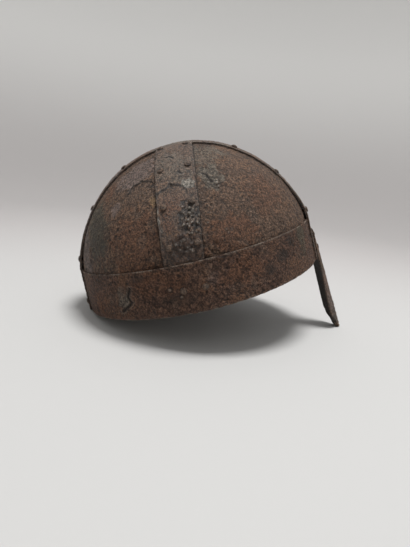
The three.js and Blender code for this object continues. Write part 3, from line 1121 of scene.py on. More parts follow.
@dataclass(frozen=True)
class RustFinish:
    """Old rust on hammered iron: brown scale with finer grain, stains and worn edges, with painted
    relief shade, painted shade and painted highlights.
    """

    name: str
    slot: str
    dark: Colour = (0.078, 0.046, 0.030)
    brown: Colour = (0.110, 0.066, 0.043)
    light: Colour = (0.157, 0.101, 0.068)
    rust: Colour = (0.142, 0.068, 0.032)
    shade: float = 1.0
    roughness: float = 0.66
    specular: float = 0.35
    grain_depth: float = 0.0022
    broad_scale: float = 42.0
    mottle_scale: float = 240.0
    grain_scale: float = 620.0
    speck_scale: float = 520.0
    olive: Colour = (0.078, 0.064, 0.042)
    ochre: Colour = (0.175, 0.110, 0.055)
    grey: Colour = (0.120, 0.104, 0.082)
    black: Colour = (0.015, 0.010, 0.007)
    red: Colour = (0.122, 0.055, 0.029)
    pale: Colour = (0.225, 0.205, 0.172)
    lilac: Colour = (0.150, 0.112, 0.098)
    raw: Colour = (0.120, 0.080, 0.058)
    # The colour of wear and of painted highlights.
    worn_and_highlight: Colour = (0.260, 0.210, 0.165)

    def stains(self) -> tuple[tuple[Tone, Colour, float], ...]:
        """The stored stains, grey and lilac partly painted sheen and pale partly painted glints, in
        the order they are laid, each with its colour and strength.
        """
        return (
            (Tone.OLIVE, self.olive, 0.85),
            (Tone.GREY, self.grey, 0.8),
            (Tone.LILAC, self.lilac, 0.8),
            (Tone.RED, self.red, 0.75),
            (Tone.OCHRE, self.ochre, 0.8),
            (Tone.RAW, self.raw, 0.5),
            (Tone.PALE, self.pale, 0.85),
        )

    def material(self) -> bpy.types.Material:
        """The finish's material, made once."""
        ready = bpy.data.materials.get(self.name)
        return ready or self.build()

    def build(self) -> bpy.types.Material:
        """Builds the nodes: mottled browns, stored stains, grain with painted relief shade, painted
        shade, wear with painted highlights, then the shader.
        """
        graph = Graph(self.name)
        broad = graph.noise(self.broad_scale, 5.0)
        mottle = graph.noise(self.mottle_scale, 4.0)
        grain = graph.noise(self.grain_scale, 4.0, 0.75)
        gap, number = graph.specks(self.speck_scale)
        high = graph.stored(Tone.HIGH)
        colour = graph.mix(self.dark, self.brown, (broad * 0.7 + mottle * 0.3).step(0.36, 0.56))
        colour = graph.mix(colour, self.light, (grain * 0.6 + mottle * 0.4).step(0.5, 0.66) * 0.6)
        colour = graph.mix(colour, self.rust, (broad + grain * 0.5 - 0.25).step(0.48, 0.72) * 0.5)
        for tone, stain, strength in self.stains():
            ragged = (graph.stored(tone) * 1.25 + (mottle - 0.5) * 0.9).step(0.12, 0.85)
            weight = ragged * graph.stored(tone).step(0.0, 0.2) * strength
            colour = graph.mix(colour, stain, weight)
        speck = (0.42 - gap).step(0.0, 0.12)
        colour = graph.mix(colour, self.rust, speck * number.step(0.72, 0.8) * 0.55)
        colour = graph.mix(colour, self.black, speck * (0.25 - number).step(0.0, 0.08) * 0.45)
        # Darkens the colour by random grain and by the stored height. The height part is painted
        # shade: low parts darker, high parts lighter.
        grain_and_relief_shade = 0.45 + high * 0.8 + (grain - 0.5) * 5.4 + (mottle - 0.5) * 0.3
        grain_and_relief_shade = grain_and_relief_shade.math("MAXIMUM", grain_and_relief_shade, 0.3)
        even = graph.grey(grain_and_relief_shade * self.shade)
        colour = graph.mix(colour, even, 1.0, "MULTIPLY")
        # The stored dark tone is partly real dark stains and partly painted shade.
        colour = graph.mix(colour, self.black, graph.stored(Tone.DARK).held())
        # Wear and painted highlights, in the worn colour.
        wear_and_highlight = graph.stored(Tone.WORN_AND_HIGHLIGHT) * (grain + mottle * 0.6).step(0.55, 0.95)
        colour = graph.mix(colour, self.worn_and_highlight, wear_and_highlight * 0.75)
        gloss = graph.stored(Tone.PALE) * 0.38 + graph.stored(Tone.DARK) * 0.2
        rough = self.roughness + (grain - 0.5) * 0.35 - wear_and_highlight * 0.15 - gloss
        bump = graph.node(
            "ShaderNodeBump",
            {},
            {
                "Height": grain * 0.8 + mottle * 0.3 - speck * 0.15,
                "Distance": self.grain_depth,
                "Strength": 1.0,
            },
        )
        shader = graph.node(
            "ShaderNodeBsdfPrincipled",
            {},
            {
                "Base Color": colour,
                "Roughness": rough.held(),
                "Metallic": 0.0,
                "IOR": 1.5,
                "Specular IOR Level": self.specular,
                "Normal": bump.outputs[0],
            },
        )
        graph.node("ShaderNodeOutputMaterial", {}, {"Surface": shader.outputs[0]})
        return graph.material


# The band's lower brightness factor is partly painted shade on the helmet's lower part.
BAND_RUST = RustFinish(
    "band_rust",
    "band_iron",
    dark=(0.068, 0.035, 0.023),
    brown=(0.104, 0.055, 0.036),
    light=(0.150, 0.088, 0.058),
    shade=0.93,
    specular=0.28,
)
STRAP_RUST = RustFinish("strap_rust", "strap_iron", shade=1.03, specular=0.6)
PLATE_RUST = RustFinish("plate_rust", "plate_iron", shade=1.02)
NASAL_RUST = RustFinish("nasal_rust", "nasal_iron", shade=1.15)
RIVET_RUST = RustFinish("rivet_rust", "rivet_iron", shade=0.85, roughness=0.5)


# ---- The helmet's pieces ----


@dataclass(frozen=True)
class IronSheet:
    """What the hammered pieces share: their edges and their rust."""

    edge: float = 0.5
    # Lighter edges: wear, partly a painted highlight.
    edge_wear_and_highlight: float = 0.25
    # A dark line inside the edges: dirt and painted shade.
    edge_dirt_and_shade: float = 0.35
    # How dark the inner face is painted: painted shade.
    inner_dark: float = 0.3
    ground: Ground = Ground()
    features: tuple[Feature, ...] = ()

    def soil_and_shade(self, skin: Skin, layers: Layers) -> None:
        """Adds dirt and painted shade where another piece lies on this one; most have none."""


@dataclass(frozen=True)
class BrowBand(IronSheet):
    """The hoop round the brow that holds the plates' feet."""

    rows: int = 930
    columns: float = 0.6
    inner_columns: int = 12
    wander: float = 0.3
    # High enough to paint a highlight along the band's edges as well as wear.
    edge_wear_and_highlight: float = 1.3
    edge_dirt_and_shade: float = 0.1
    features: tuple[Feature, ...] = (
        Stain(Tone.OLIVE, (99, -51, 36), (9, 11), 0.7),
        Stain(Tone.OLIVE, (101, -52, 22), (7, 8), 0.5),
        Stain(Tone.LILAC, (13, -104, 26), (10, 6), 0.4),
        Stain(Tone.DARK, (29, -100, 41), (14, 2.5), 0.6),
        Stain(Tone.DARK, (-20, -102, 14), (20, 5), 0.35),
        Stain(Tone.LILAC, (-32, -99, 28), (10, 7), 0.4),
        Stain(Tone.GREY, (-66, -84, 20), (9, 9), 0.6),
        Stain(Tone.RED, (-88, -56, 16), (14, 12), 0.7),
        Stain(Tone.RED, (-35, -96, 30), (26, 12), 0.7),
        Stain(Tone.RED, (40, -92, 25), (26, 14), 0.7),
        Stain(Tone.DARK, (86, -67, 33), (8, 5), 0.55),
        Stain(Tone.DARK, (76, -76, 26), (9, 6), 0.65),
        Stain(Tone.DARK, (62, -87, 18), (10, 5), 0.55),
        Stain(Tone.DARK, (-48, -92, 36), (9, 4), 0.5),
        Crack(((-57.5, -88.7, 28.5), (-61.5, -87.2, 20.7), (-58.8, -89.1, 16.1), (-70.2, -82.7, 8.2))),
        Blister((-14.5, -104, 16), 1.6, 0.8),
        Blister((-23, -102, 23.5), 1.6, 0.8),
        Stain(Tone.OLIVE, (60, 88, 24), (16, 9), 0.6),
        Stain(Tone.RED, (-20, 102, 22), (30, 12), 0.6),
        Stain(Tone.DARK, (88, 66, 20), (14, 6), 0.6),
        Stain(Tone.DARK, (-70, 82, 30), (16, 6), 0.5),
        Stain(Tone.LILAC, (20, 103, 30), (12, 7), 0.6),
        Stain(Tone.RED, (-112, 20, 22), (10, 20), 0.6),
        Crack(((34, 99, 30), (37, 98, 22), (33, 99.5, 15), (41, 97, 8))),
    )

    def build(self, maker: Maker, layers: Layers) -> None:
        """Carries the band's height round the brow; both edges wander a little.

        Args:
            maker: What makes the meshes.
            layers: The band's faces.
        """
        shell = maker.shell
        bearing = np.linspace(0.0, 2.0 * np.pi, self.rows, endpoint=False)
        way = np.stack([np.cos(bearing), np.sin(bearing), 0.0 * bearing], axis=-1)
        around = 100.0 * way
        top = shell.band_height - self.wander * (0.5 + 0.5 * maker.noise.layered(around, 9.0, 3))
        rim = self.wander * (0.6 + maker.other.layered(around, 8.0, 3)).clip(0.0)
        fine = across(shell.band_height, self.columns, self.edge) / shell.band_height
        coarse = np.linspace(0.0, 1.0, self.inner_columns)

        def base(shares: Array) -> Array:
            """Finds a face's base.

            Args:
                shares: Shares of the band's height.

            Returns:
                The shell's points at those shares, row by row.
            """
            up = rim[:, None] + (top - rim)[:, None] * shares
            starts = np.stack([0.0 * up, 0.0 * up, up], axis=-1)
            return shell.meet(starts, np.broadcast_to(way[:, None], starts.shape))

        outer = base(fine)
        edge = np.minimum(outer[..., 2] - rim[:, None], top[:, None] - outer[..., 2])
        maker.sheet("brow_band", BAND_RUST, self, outer, base(coarse), edge,
                    layers.band_outer, layers.band_inner, True)


@dataclass(frozen=True)
class CrestStrap(IronSheet):
    """The wide strap over the crown from front to back, with its ends over the band."""

    foot_rows: int = 56
    fan_rows: int = 420
    columns: float = 0.7
    inner_columns: int = 12
    wander: float = 0.3
    features: tuple[Feature, ...] = (
        # Grey on the crown: grey rust and painted sheen.
        Stain(Tone.GREY, (4, -16, 137), (26, 9), 0.55),
        Stain(Tone.GREY, (45, -19, 125), (30, 5), 0.5),
        Stain(Tone.LILAC, (-55, -19, 118), (34, 7), 0.9),
        Stain(Tone.LILAC, (-92, -19, 88), (20, 30), 1.0),
        Stain(Tone.LILAC, (-112, -19, 50), (14, 26), 1.0),
        Stain(Tone.RED, (-85, 0, 96), (16, 14), 0.6),
        Stain(Tone.OLIVE, (85, 0, 97), (18, 14), 0.6),
        Stain(Tone.RED, (20, 8, 138), (22, 12), 0.5),
        Stain(Tone.DARK, (70, 12, 108), (14, 8), 0.5),
        Stain(Tone.OLIVE, (-30, 10, 134), (22, 10), 0.6),
        Flake((-20, 6, 137), (18, 9), 0.45),
        Flake((62, -4, 114), (12, 9), 0.4),
        Crack(((-70, -6, 109), (-66, -2, 111.5), (-61, -3, 114.5), (-55, 2, 118))),
    )

    def build(self, maker: Maker, layers: Layers) -> None:
        """Fans lines of sight over the dome in upright planes side by side.

        Args:
            maker: What makes the meshes.
            layers: The strap's faces.
        """
        shell = maker.shell
        foot = np.linspace(0.0, shell.band_height, self.foot_rows, endpoint=False)
        fan = np.linspace(0.0, np.pi, self.fan_rows)
        up = np.concatenate([foot, np.full(self.fan_rows, shell.band_height), foot[::-1]])
        angle = np.concatenate([0.0 * foot, fan, np.full(self.foot_rows, np.pi)])
        way = np.stack([np.cos(angle), 0.0 * angle, np.sin(angle)], axis=-1)
        path = np.stack([100.0 * np.cos(angle), 0.0 * angle, up + 100.0 * np.sin(angle)], axis=-1)
        width = layers.crest_width
        near = width / 2 - self.wander * maker.noise.layered(path, 9.0, 3)
        far = width / 2 - self.wander * maker.other.layered(path, 9.0, 3)
        fine = across(width, self.columns, self.edge) / width
        coarse = np.linspace(0.0, 1.0, self.inner_columns)

        def base(shares: Array) -> Array:
            """Finds a face's base.

            Args:
                shares: Shares of the strap's width.

            Returns:
                The shell's points at those shares, row by row.
            """
            side = -near[:, None] + (near + far)[:, None] * shares
            starts = np.stack([0.0 * side, side, up[:, None] + 0.0 * side], axis=-1)
            return shell.meet(starts, np.broadcast_to(way[:, None], starts.shape))

        outer = base(fine)
        side = outer[..., 1]
        edge = np.minimum(side + near[:, None], far[:, None] - side)
        foot_edge = np.where(np.sin(angle) < 0.01, up, FAR_FROM_EDGE)
        edge = np.minimum(edge, foot_edge[:, None])
        maker.sheet("crest_strap", STRAP_RUST, self, outer, base(coarse), edge,
                    layers.crest_outer, layers.crest_inner, False)


@dataclass(frozen=True)
class SideStrap(IronSheet):
    """A strap from the crest strap down one side, tucked in behind the band."""

    side: float = -1.0
    name: str = "side_strap_right"
    foot: float = 12.0
    foot_rows: int = 30
    climb_rows: int = 190
    columns: float = 0.6
    inner_columns: int = 10
    wander: float = 0.45
    crown_edge: float = 21.9
    reach_out: float = 90.0

    def rays(self, layers: Layers, along: Array, up: Array, angle: Array) -> tuple[Array, Array]:
        """Lines of sight in the strap's leaning plane.

        Args:
            layers: Where the strap's middle line is.
            along: The distance before its middle line, or behind it if below 0.
            up: The height that the lines start from.
            angle: How far they are turned up.

        Returns:
            The lines' starts and directions.
        """
        lean = layers.side_strap_lean
        start = np.stack([layers.strap_middle(up) + along, 0.0 * along, up + 0.0 * along], axis=-1)
        sine, cosine = np.sin(angle), np.cos(angle)
        return start, np.stack([lean * sine, self.side * cosine, sine], axis=-1)

    def crown_angle(self, shell: Shell, layers: Layers, along: Array) -> Array:
        """Finds by halving where the strap meets the crest strap's edge.

        Args:
            shell: What the strap lies on.
            layers: Where its middle line is.
            along: Distances before its middle line.

        Returns:
            The angle for each distance.
        """
        below = np.zeros(along.shape)
        above = np.full(along.shape, np.pi / 2)
        up = np.full(along.shape, shell.band_height)
        for _ in range(24):
            angle = (below + above) / 2
            point = shell.meet(*self.rays(layers, along, up, angle))
            aside = np.abs(point[..., 1]) > self.crown_edge
            below = np.where(aside, angle, below)
            above = np.where(aside, above, angle)
        return below

    def build(self, maker: Maker, layers: Layers) -> None:
        """Carries the strap's width up behind the band and over the dome to the crest strap.

        Args:
            maker: What makes the meshes.
            layers: The strap's faces.
        """
        shell = maker.shell
        width = layers.side_strap_width
        foot = np.linspace(self.foot, shell.band_height, self.foot_rows, endpoint=False)
        climb = np.linspace(0.0, 1.0, self.climb_rows)
        up = np.concatenate([foot, np.full(self.climb_rows, shell.band_height)])
        share = np.concatenate([0.0 * foot, climb])
        path = np.stack([0.0 * up, self.side * self.reach_out * (1.0 - share),
                         up + self.reach_out * share], axis=-1)
        rear = width / 2 - self.wander * maker.noise.layered(path, 8.0, 3)
        fore = width / 2 - self.wander * maker.other.layered(path, 8.0, 3)
        fine = across(width, self.columns, self.edge) / width
        coarse = np.linspace(0.0, 1.0, self.inner_columns)

        def base(shares: Array) -> Array:
            """Finds a face's base.

            Args:
                shares: Shares of the strap's width.

            Returns:
                The shell's points at those shares, row by row.
            """
            along = -rear[:, None] + (rear + fore)[:, None] * shares
            angle = share[:, None] * self.crown_angle(shell, layers, along)
            return shell.meet(*self.rays(layers, along, up[:, None] + 0.0 * along, angle))

        outer = base(fine)
        along = (rear + fore)[:, None] * fine
        edge = np.minimum(along, (rear + fore)[:, None] - along)
        edge = np.minimum(edge, np.abs(outer[..., 1]) - self.crown_edge + 0.001)
        edge = np.minimum(edge, np.where(share > 0, FAR_FROM_EDGE, up - self.foot)[:, None])
        maker.sheet(self.name, STRAP_RUST, self, outer, base(coarse), edge,
                    layers.strap_outer, layers.strap_inner, False)


@dataclass(frozen=True)
class DomePlate(IronSheet):
    """One quarter of the dome, under the straps and the band."""

    fore: float = 1.0
    side: float = -1.0
    name: str = "plate_front_right"
    foot: float = 14.0
    foot_rows: int = 24
    climb_rows: int = 205
    columns: int = 225
    inner_columns: int = 26
    crest_room: float = 10.6
    strap_room: float = 6.0
    corner: float = 80.0
    # The dark line beside the straps is dirt and painted shadow.
    seam: float = 1.0
    seam_width: float = 1.3

    def soil_and_shade(self, skin: Skin, layers: Layers) -> None:
        """Darkens the plate close beside the straps: dirt and painted shadow from their edges.

        Args:
            skin: The plate's outer face.
            layers: Where the straps lie.
        """
        forward, side, up = (skin.points[..., axis] for axis in range(3))
        aside = np.abs(forward - layers.strap_middle(up)) - layers.side_strap_width / 2
        gap = np.minimum(aside, np.abs(side) - layers.crest_width / 2).clip(0.0)
        skin.tint(Tone.DARK, self.seam * bell(gap / self.seam_width))

    def bearing(self, shell: Shell, layers: Layers, up: Array, rise: Array, crest: bool) -> Array:
        """Finds by halving where a row meets the plate's edge.

        Args:
            shell: What the plate lies on.
            layers: Where the side strap's middle line is.
            up: The height that each row's lines of sight start from.
            rise: How far each row's lines are turned up.
            crest: Whether the edge is the one under the crest strap, not the side strap.

        Returns:
            Each row's bearing there.
        """
        low = np.zeros(up.shape)
        high = np.full(up.shape, np.pi / 2)
        for _ in range(26):
            middle = (low + high) / 2
            point = shell.meet(*self.rays(up, rise, middle))
            if crest:
                past = np.abs(point[..., 1]) > self.crest_room
            else:
                ahead = self.fore * (point[..., 0] - layers.strap_middle(point[..., 2]))
                past = ahead < self.strap_room
            low = np.where(past, low, middle)
            high = np.where(past, middle, high)
        return (low + high) / 2

    def rays(self, up: Array, rise: Array, bearing: Array) -> tuple[Array, Array]:
        """Lines of sight from the upright middle line.

        Args:
            up: The height that the lines start from.
            rise: How far they are turned up.
            bearing: How far they are turned round from the front or the back.

        Returns:
            The lines' starts and directions.
        """
        start = np.stack([0.0 * bearing, 0.0 * bearing, up + 0.0 * bearing], axis=-1)
        level = np.cos(rise)
        way = np.stack(
            [
                self.fore * level * np.cos(bearing),
                self.side * level * np.sin(bearing),
                np.sin(rise) + 0.0 * bearing,
            ],
            axis=-1,
        )
        return start, way

    def build(self, maker: Maker, layers: Layers) -> None:
        """Rows climb from behind the band to the crown, each from edge to edge of the quarter.

        Args:
            maker: What makes the meshes.
            layers: The plate's faces.
        """
        shell = maker.shell
        foot = np.linspace(self.foot, shell.band_height, self.foot_rows, endpoint=False)
        climb = np.radians(np.linspace(0.0, self.corner, self.climb_rows))
        up = np.concatenate([foot, np.full(self.climb_rows, shell.band_height)])
        rise = np.concatenate([0.0 * foot, climb])
        first = self.bearing(shell, layers, up, rise, True)
        last = self.bearing(shell, layers, up, rise, False)

        def base(columns: int) -> Array:
            """Finds a face's base.

            Args:
                columns: How many points a row has.

            Returns:
                The shell's points at even bearings along each row.
            """
            share = np.linspace(0.0, 1.0, columns)
            bearing = first[:, None] + (last - first)[:, None] * share
            return shell.meet(*self.rays(up[:, None], rise[:, None], bearing))

        outer = base(self.columns)
        edge = np.full(outer.shape[:-1], FAR_FROM_EDGE)
        maker.sheet(self.name, PLATE_RUST, self, outer, base(self.inner_columns), edge,
                    layers.plate_outer, layers.plate_inner, False)


def side_straps() -> tuple[SideStrap, ...]:
    """Both side straps, each with its own damage."""
    right = (
        Stain(Tone.GREY, (-2, -60, 118), (18, 26), 0.4),
        Stain(Tone.GREY, (4, -74, 106), (12, 6), 0.4),
        Stain(Tone.GREY, (8, -94, 78), (10, 12), 0.4),
        Flake((-5, -84.5, 94.5), (14.5, 11), 0.75),
        Stain(Tone.RED, (-5, -87, 90), (13, 9), 0.65),
        Stain(Tone.PALE, (10, -79.5, 101.5), (5.5, 5), 1.0),
        Pebbles((7, -94.5, 76), (10, 14)),
        Stain(Tone.RED, (-12, -94, 76), (6, 9), 0.6),
        Stain(Tone.DARK, (-4, -101, 53), (18, 12), 0.66),
        Stain(Tone.RED, (-4, -101, 53), (18, 14), 0.6),
        Pebbles((-4, -100.5, 57), (13, 10), 3.6, 1.5, 0.5, 0.7),
        # Pale marks along the strap's rear edge: painted highlights.
        Stain(Tone.PALE, (-19.0, -88.7, 85.8), (1.6, 3), 0.55),
        Stain(Tone.PALE, (-18.8, -92.8, 78.1), (1.6, 3.5), 0.55),
        Stain(Tone.PALE, (-18.0, -95.8, 71.7), (1.4, 2.5), 0.4),
        Crack(((-3.5, -49.5, 126.3), (-0.8, -49, 126.7), (2.1, -52.4, 124.9))),
        Crack(((4.9, -68.9, 112.9), (7, -71.4, 110.5))),
        Blister((-2.4, -101.1, 60.7), 1.6, 0.6),
        Blister((2.8, -102.8, 51.2), 2.0, 0.8),
    )
    left = (
        Flake((6, 66, 112), (13, 10)),
        Stain(Tone.RED, (5, 68, 110), (12, 9), 0.6),
        Stain(Tone.GREY, (-4, 45, 128), (15, 14), 0.55),
        Stain(Tone.PALE, (-8, 78, 102), (5, 4), 0.8),
        Pebbles((-6, 92, 81), (10, 12)),
        Stain(Tone.DARK, (0, 101, 52), (16, 9), 0.6),
        Crack(((8, 88, 89), (5, 90, 86), (9, 92, 82))),
    )
    return (
        SideStrap(side=-1.0, name="side_strap_right", features=right),
        SideStrap(side=1.0, name="side_strap_left", features=left),
    )


def dome_plates() -> tuple[DomePlate, ...]:
    """The four plates of the dome, each with its own damage."""
    front_right = (
        Stain(Tone.OLIVE, (30, -50, 121), (20, 17), 0.3),
        # Grey on the top: grey rust and painted sheen.
        Stain(Tone.GREY, (26, -45, 124), (26, 22), 0.45),
        Stain(Tone.GREY, (29, -72, 105), (11, 14), 0.9),
        Crack(((24, -70.5, 108.1), (26.5, -72.3, 105.6), (28.4, -73.9, 103.2), (30.3, -75.8, 100.2))),
        Pebbles((31, -77, 99), (9, 8), 2.6, 1.0, 0.8, 0.5),
        Stain(Tone.RED, (70, -62, 80), (24, 24), 0.45),
        Stain(Tone.RED, (40, -94, 56), (34, 16), 0.75),
        Pebbles((19, -94, 82), (7, 20), 2.4, 0.7, 0.4, 0.25),
        Blister((33.2, -95.6, 60.9), 1.0, 0.4),
        Blister((37.2, -94.4, 60.1), 1.1, 0.45),
        Blister((34.2, -95.9, 58.2), 0.9, 0.35),
        Crack(((80.6, -27, 102.6), (88.9, -25, 94)), 0.35, 0.35),
    )
    rear_right = (
        Flake((-31, -70, 103), (13.5, 13.5), 0.75),
        # Lilac on the rear of the top: lilac rust and painted sheen.
        Stain(Tone.LILAC, (-36, -48, 118), (30, 18), 0.6),
        Stain(Tone.LILAC, (-100, -36, 66), (8, 36), 0.9),
        Stain(Tone.DARK, (-19.7, -71.2, 107.3), (1.8, 1.8), 1.0),
        Stain(Tone.OCHRE, (-20.8, -81.6, 95), (3.5, 7), 0.9),
        Stain(Tone.RED, (-62, -38, 110), (9, 13), 0.6),
        Stain(Tone.RED, (-43, -88, 62), (24, 30), 0.75),
        Stain(Tone.OLIVE, (-80, -50, 84), (14, 34), 0.85),
        Stain(Tone.DARK, (-80, -58, 76), (11, 26), 0.4),
        Stain(Tone.LILAC, (-57.5, -63, 94), (8, 7), 0.7),
    )
    front_left = (
        Flake((48, 70, 98), (14, 12), 0.45),
        Stain(Tone.OLIVE, (80, 48, 82), (18, 22), 0.7),
        Stain(Tone.RED, (40, 90, 68), (24, 18), 0.6),
        # Grey on the top: grey rust and painted sheen.
        Stain(Tone.GREY, (30, 45, 124), (16, 12), 0.6),
        Pebbles((60, 78, 78), (10, 9), 2.2, 0.45, 0.4),
        Crack(((86, 40, 86), (80, 46, 88), (76, 48, 91))),
    )
    rear_left = (
        Flake((-70, 55, 95), (13, 13), 0.5),
        Stain(Tone.OLIVE, (-45, 60, 108), (22, 14), 0.6),
        Stain(Tone.RED, (-60, 78, 72), (24, 20), 0.6),
        Stain(Tone.LILAC, (-88, 40, 78), (10, 14), 0.7),
        Stain(Tone.OCHRE, (-26, 92, 78), (4, 8), 0.8),
        Pebbles((-38, 84, 82), (9, 10), 2.2, 0.45, 0.5),
        Crack(((-96, 28, 72), (-92, 34, 75), (-93, 38, 70))),
    )
    return (
        DomePlate(fore=1.0, side=-1.0, name="plate_front_right", features=front_right),
        DomePlate(fore=-1.0, side=-1.0, name="plate_rear_right", features=rear_right),
        DomePlate(fore=1.0, side=1.0, name="plate_front_left", features=front_left),
        DomePlate(fore=-1.0, side=1.0, name="plate_rear_left", features=rear_left),
    )


@dataclass(frozen=True)
class Nasal(IronSheet):
    """The nose bar: ridged, on the crest strap's foot above the rim and free below it."""

    top: float = 28.0
    bottom: float = -85.0
    half_width: float = 13.0
    thickness: float = 1.8
    gap: float = 0.3
    ridge_at_rim: float = 127.6
    lean: float = 0.103
    rise_at_top: float = 0.9
    ridge_power: float = 1.25
    free_depth: float = 9.0
    freeing: float = 80.0
    rows: int = 190
    columns: float = 0.36
    inner_columns: int = 16
    edge: float = 0.55
    edge_wear_and_highlight: float = 0.5
    wander: float = 0.3
    # The nose bar's inner face painted nearly black: painted shade.
    inner_dark: float = 0.9
    tongue_thickness: float = 3.4
    heights: tuple[float, ...] = (28, 25, 14, 0, -15, -30, -48, -64, -71, -76, -81, -84, -85)
    halves: tuple[float, ...] = (6.3, 10.5, 12, 13, 13, 12.6, 12, 11.5, 9.5, 6, 5, 4, 2.6)
    features: tuple[Feature, ...] = (
        Stain(Tone.RED, (130, -6, -30), (20, 16), 0.4),
        Stain(Tone.LILAC, (132, -6, -40), (20, 26), 0.6),
        Stain(Tone.DARK, (133, -4, -70), (20, 9), 0.35),
        Stain(Tone.OLIVE, (130, 6, -20), (20, 20), 0.6),
        Stain(Tone.GREY, (134, -8, -70), (20, 9), 0.5),
    )

    def crest_face(self, shell: Shell, layers: Layers, up: Array, side: float) -> Array:
        """Where the crest strap's outer face is.

        Args:
            shell: What the strap lies on.
            layers: The strap's faces.
            up: Heights.
            side: The distance aside.

        Returns:
            How far forward the face is at each height.
        """
        start = np.stack([0.0 * up, side + 0.0 * up, np.maximum(up, 0.0)], axis=-1)
        point = shell.meet(start, np.broadcast_to([1.0, 0.0, 0.0], start.shape))
        return (point + shell.outward(point) * layers.crest_outer(point)[..., None])[..., 0]

    def ridge(self, shell: Shell, layers: Layers, up: Array) -> Array:
        """The outer ridge: leaning forward below the rim, and straight to its seat above it.

        Args:
            shell: What the crest strap lies on.
            layers: The crest strap's faces.
            up: Heights.

        Returns:
            How far forward the ridge is at each height.
        """
        seat = self.crest_face(shell, layers, np.full(1, self.top), 0.0)[0]
        seat += self.gap + self.thickness + self.rise_at_top
        above = blend(self.ridge_at_rim, seat, up / self.top)
        return np.where(up > 0, above, self.ridge_at_rim - self.lean * up)

    def build(self, maker: Maker, layers: Layers) -> None:
        """Sets the face back from its ridge by a power of the distance aside.

        Args:
            maker: What makes the meshes.
            layers: The crest strap's faces, on which the bar sits.
        """
        shell = maker.shell
        shoulder = np.linspace(-63.0, -80.5, 50)
        up = np.concatenate([
            np.linspace(self.top, self.top - 0.6, 5, endpoint=False),
            np.linspace(self.top - 0.6, shoulder[0], self.rows, endpoint=False),
            shoulder,
            np.linspace(shoulder[-1] - 0.2, self.bottom + 0.6, 14, endpoint=False),
            np.linspace(self.bottom + 0.6, self.bottom, 5),
        ])
        half = np.interp(-up, -np.array(self.heights), self.halves)
        path = np.stack([0.0 * up, 0.0 * up, up], axis=-1)
        near = half - self.wander * maker.noise.layered(path, 7.0, 3).clip(-0.3)
        far = half - self.wander * maker.other.layered(path, 7.0, 3).clip(-0.3)
        ridge = self.ridge(shell, layers, up)
        clear = self.crest_face(shell, layers, up, self.half_width) + self.gap + self.thickness
        seated = self.ridge(shell, layers, np.maximum(up, 0.0)) - clear
        depth = blend(seated, self.free_depth, ease(-up / self.freeing))
        width = 2 * self.half_width
        fine = across(width, self.columns, self.edge) / width
        coarse = np.linspace(0.0, 1.0, self.inner_columns)

        def face(shares: Array) -> Array:
            """Finds the outer face's points.

            Args:
                shares: Shares of the bar's width.

            Returns:
                The points at those shares, row by row.
            """
            side = -near[:, None] + (near + far)[:, None] * shares
            back = depth[:, None] * (np.abs(side) / self.half_width) ** self.ridge_power
            return np.stack([ridge[:, None] - back, side, up[:, None] + 0.0 * side], axis=-1)

        outer = face(fine)
        side = outer[..., 1]
        edge = np.minimum(side + near[:, None], far[:, None] - side)
        ends = np.minimum(self.top - up, up - self.bottom)
        edge = np.minimum(edge, ends[:, None])
        tongue = ease((-66.0 - up) / 10.0)
        thick = blend(self.thickness, self.tongue_thickness, tongue)
        forward = np.broadcast_to([1.0, 0.0, 0.0], outer.shape)
        back = np.broadcast_to([1.0, 0.0, 0.0], (len(up), self.inner_columns, 3))
        maker.plate("nasal", NASAL_RUST, self, outer, face(coarse), edge,
                    (forward, np.zeros(side.shape)),
                    (back, np.repeat(-thick[:, None], self.inner_columns, axis=1)), False)


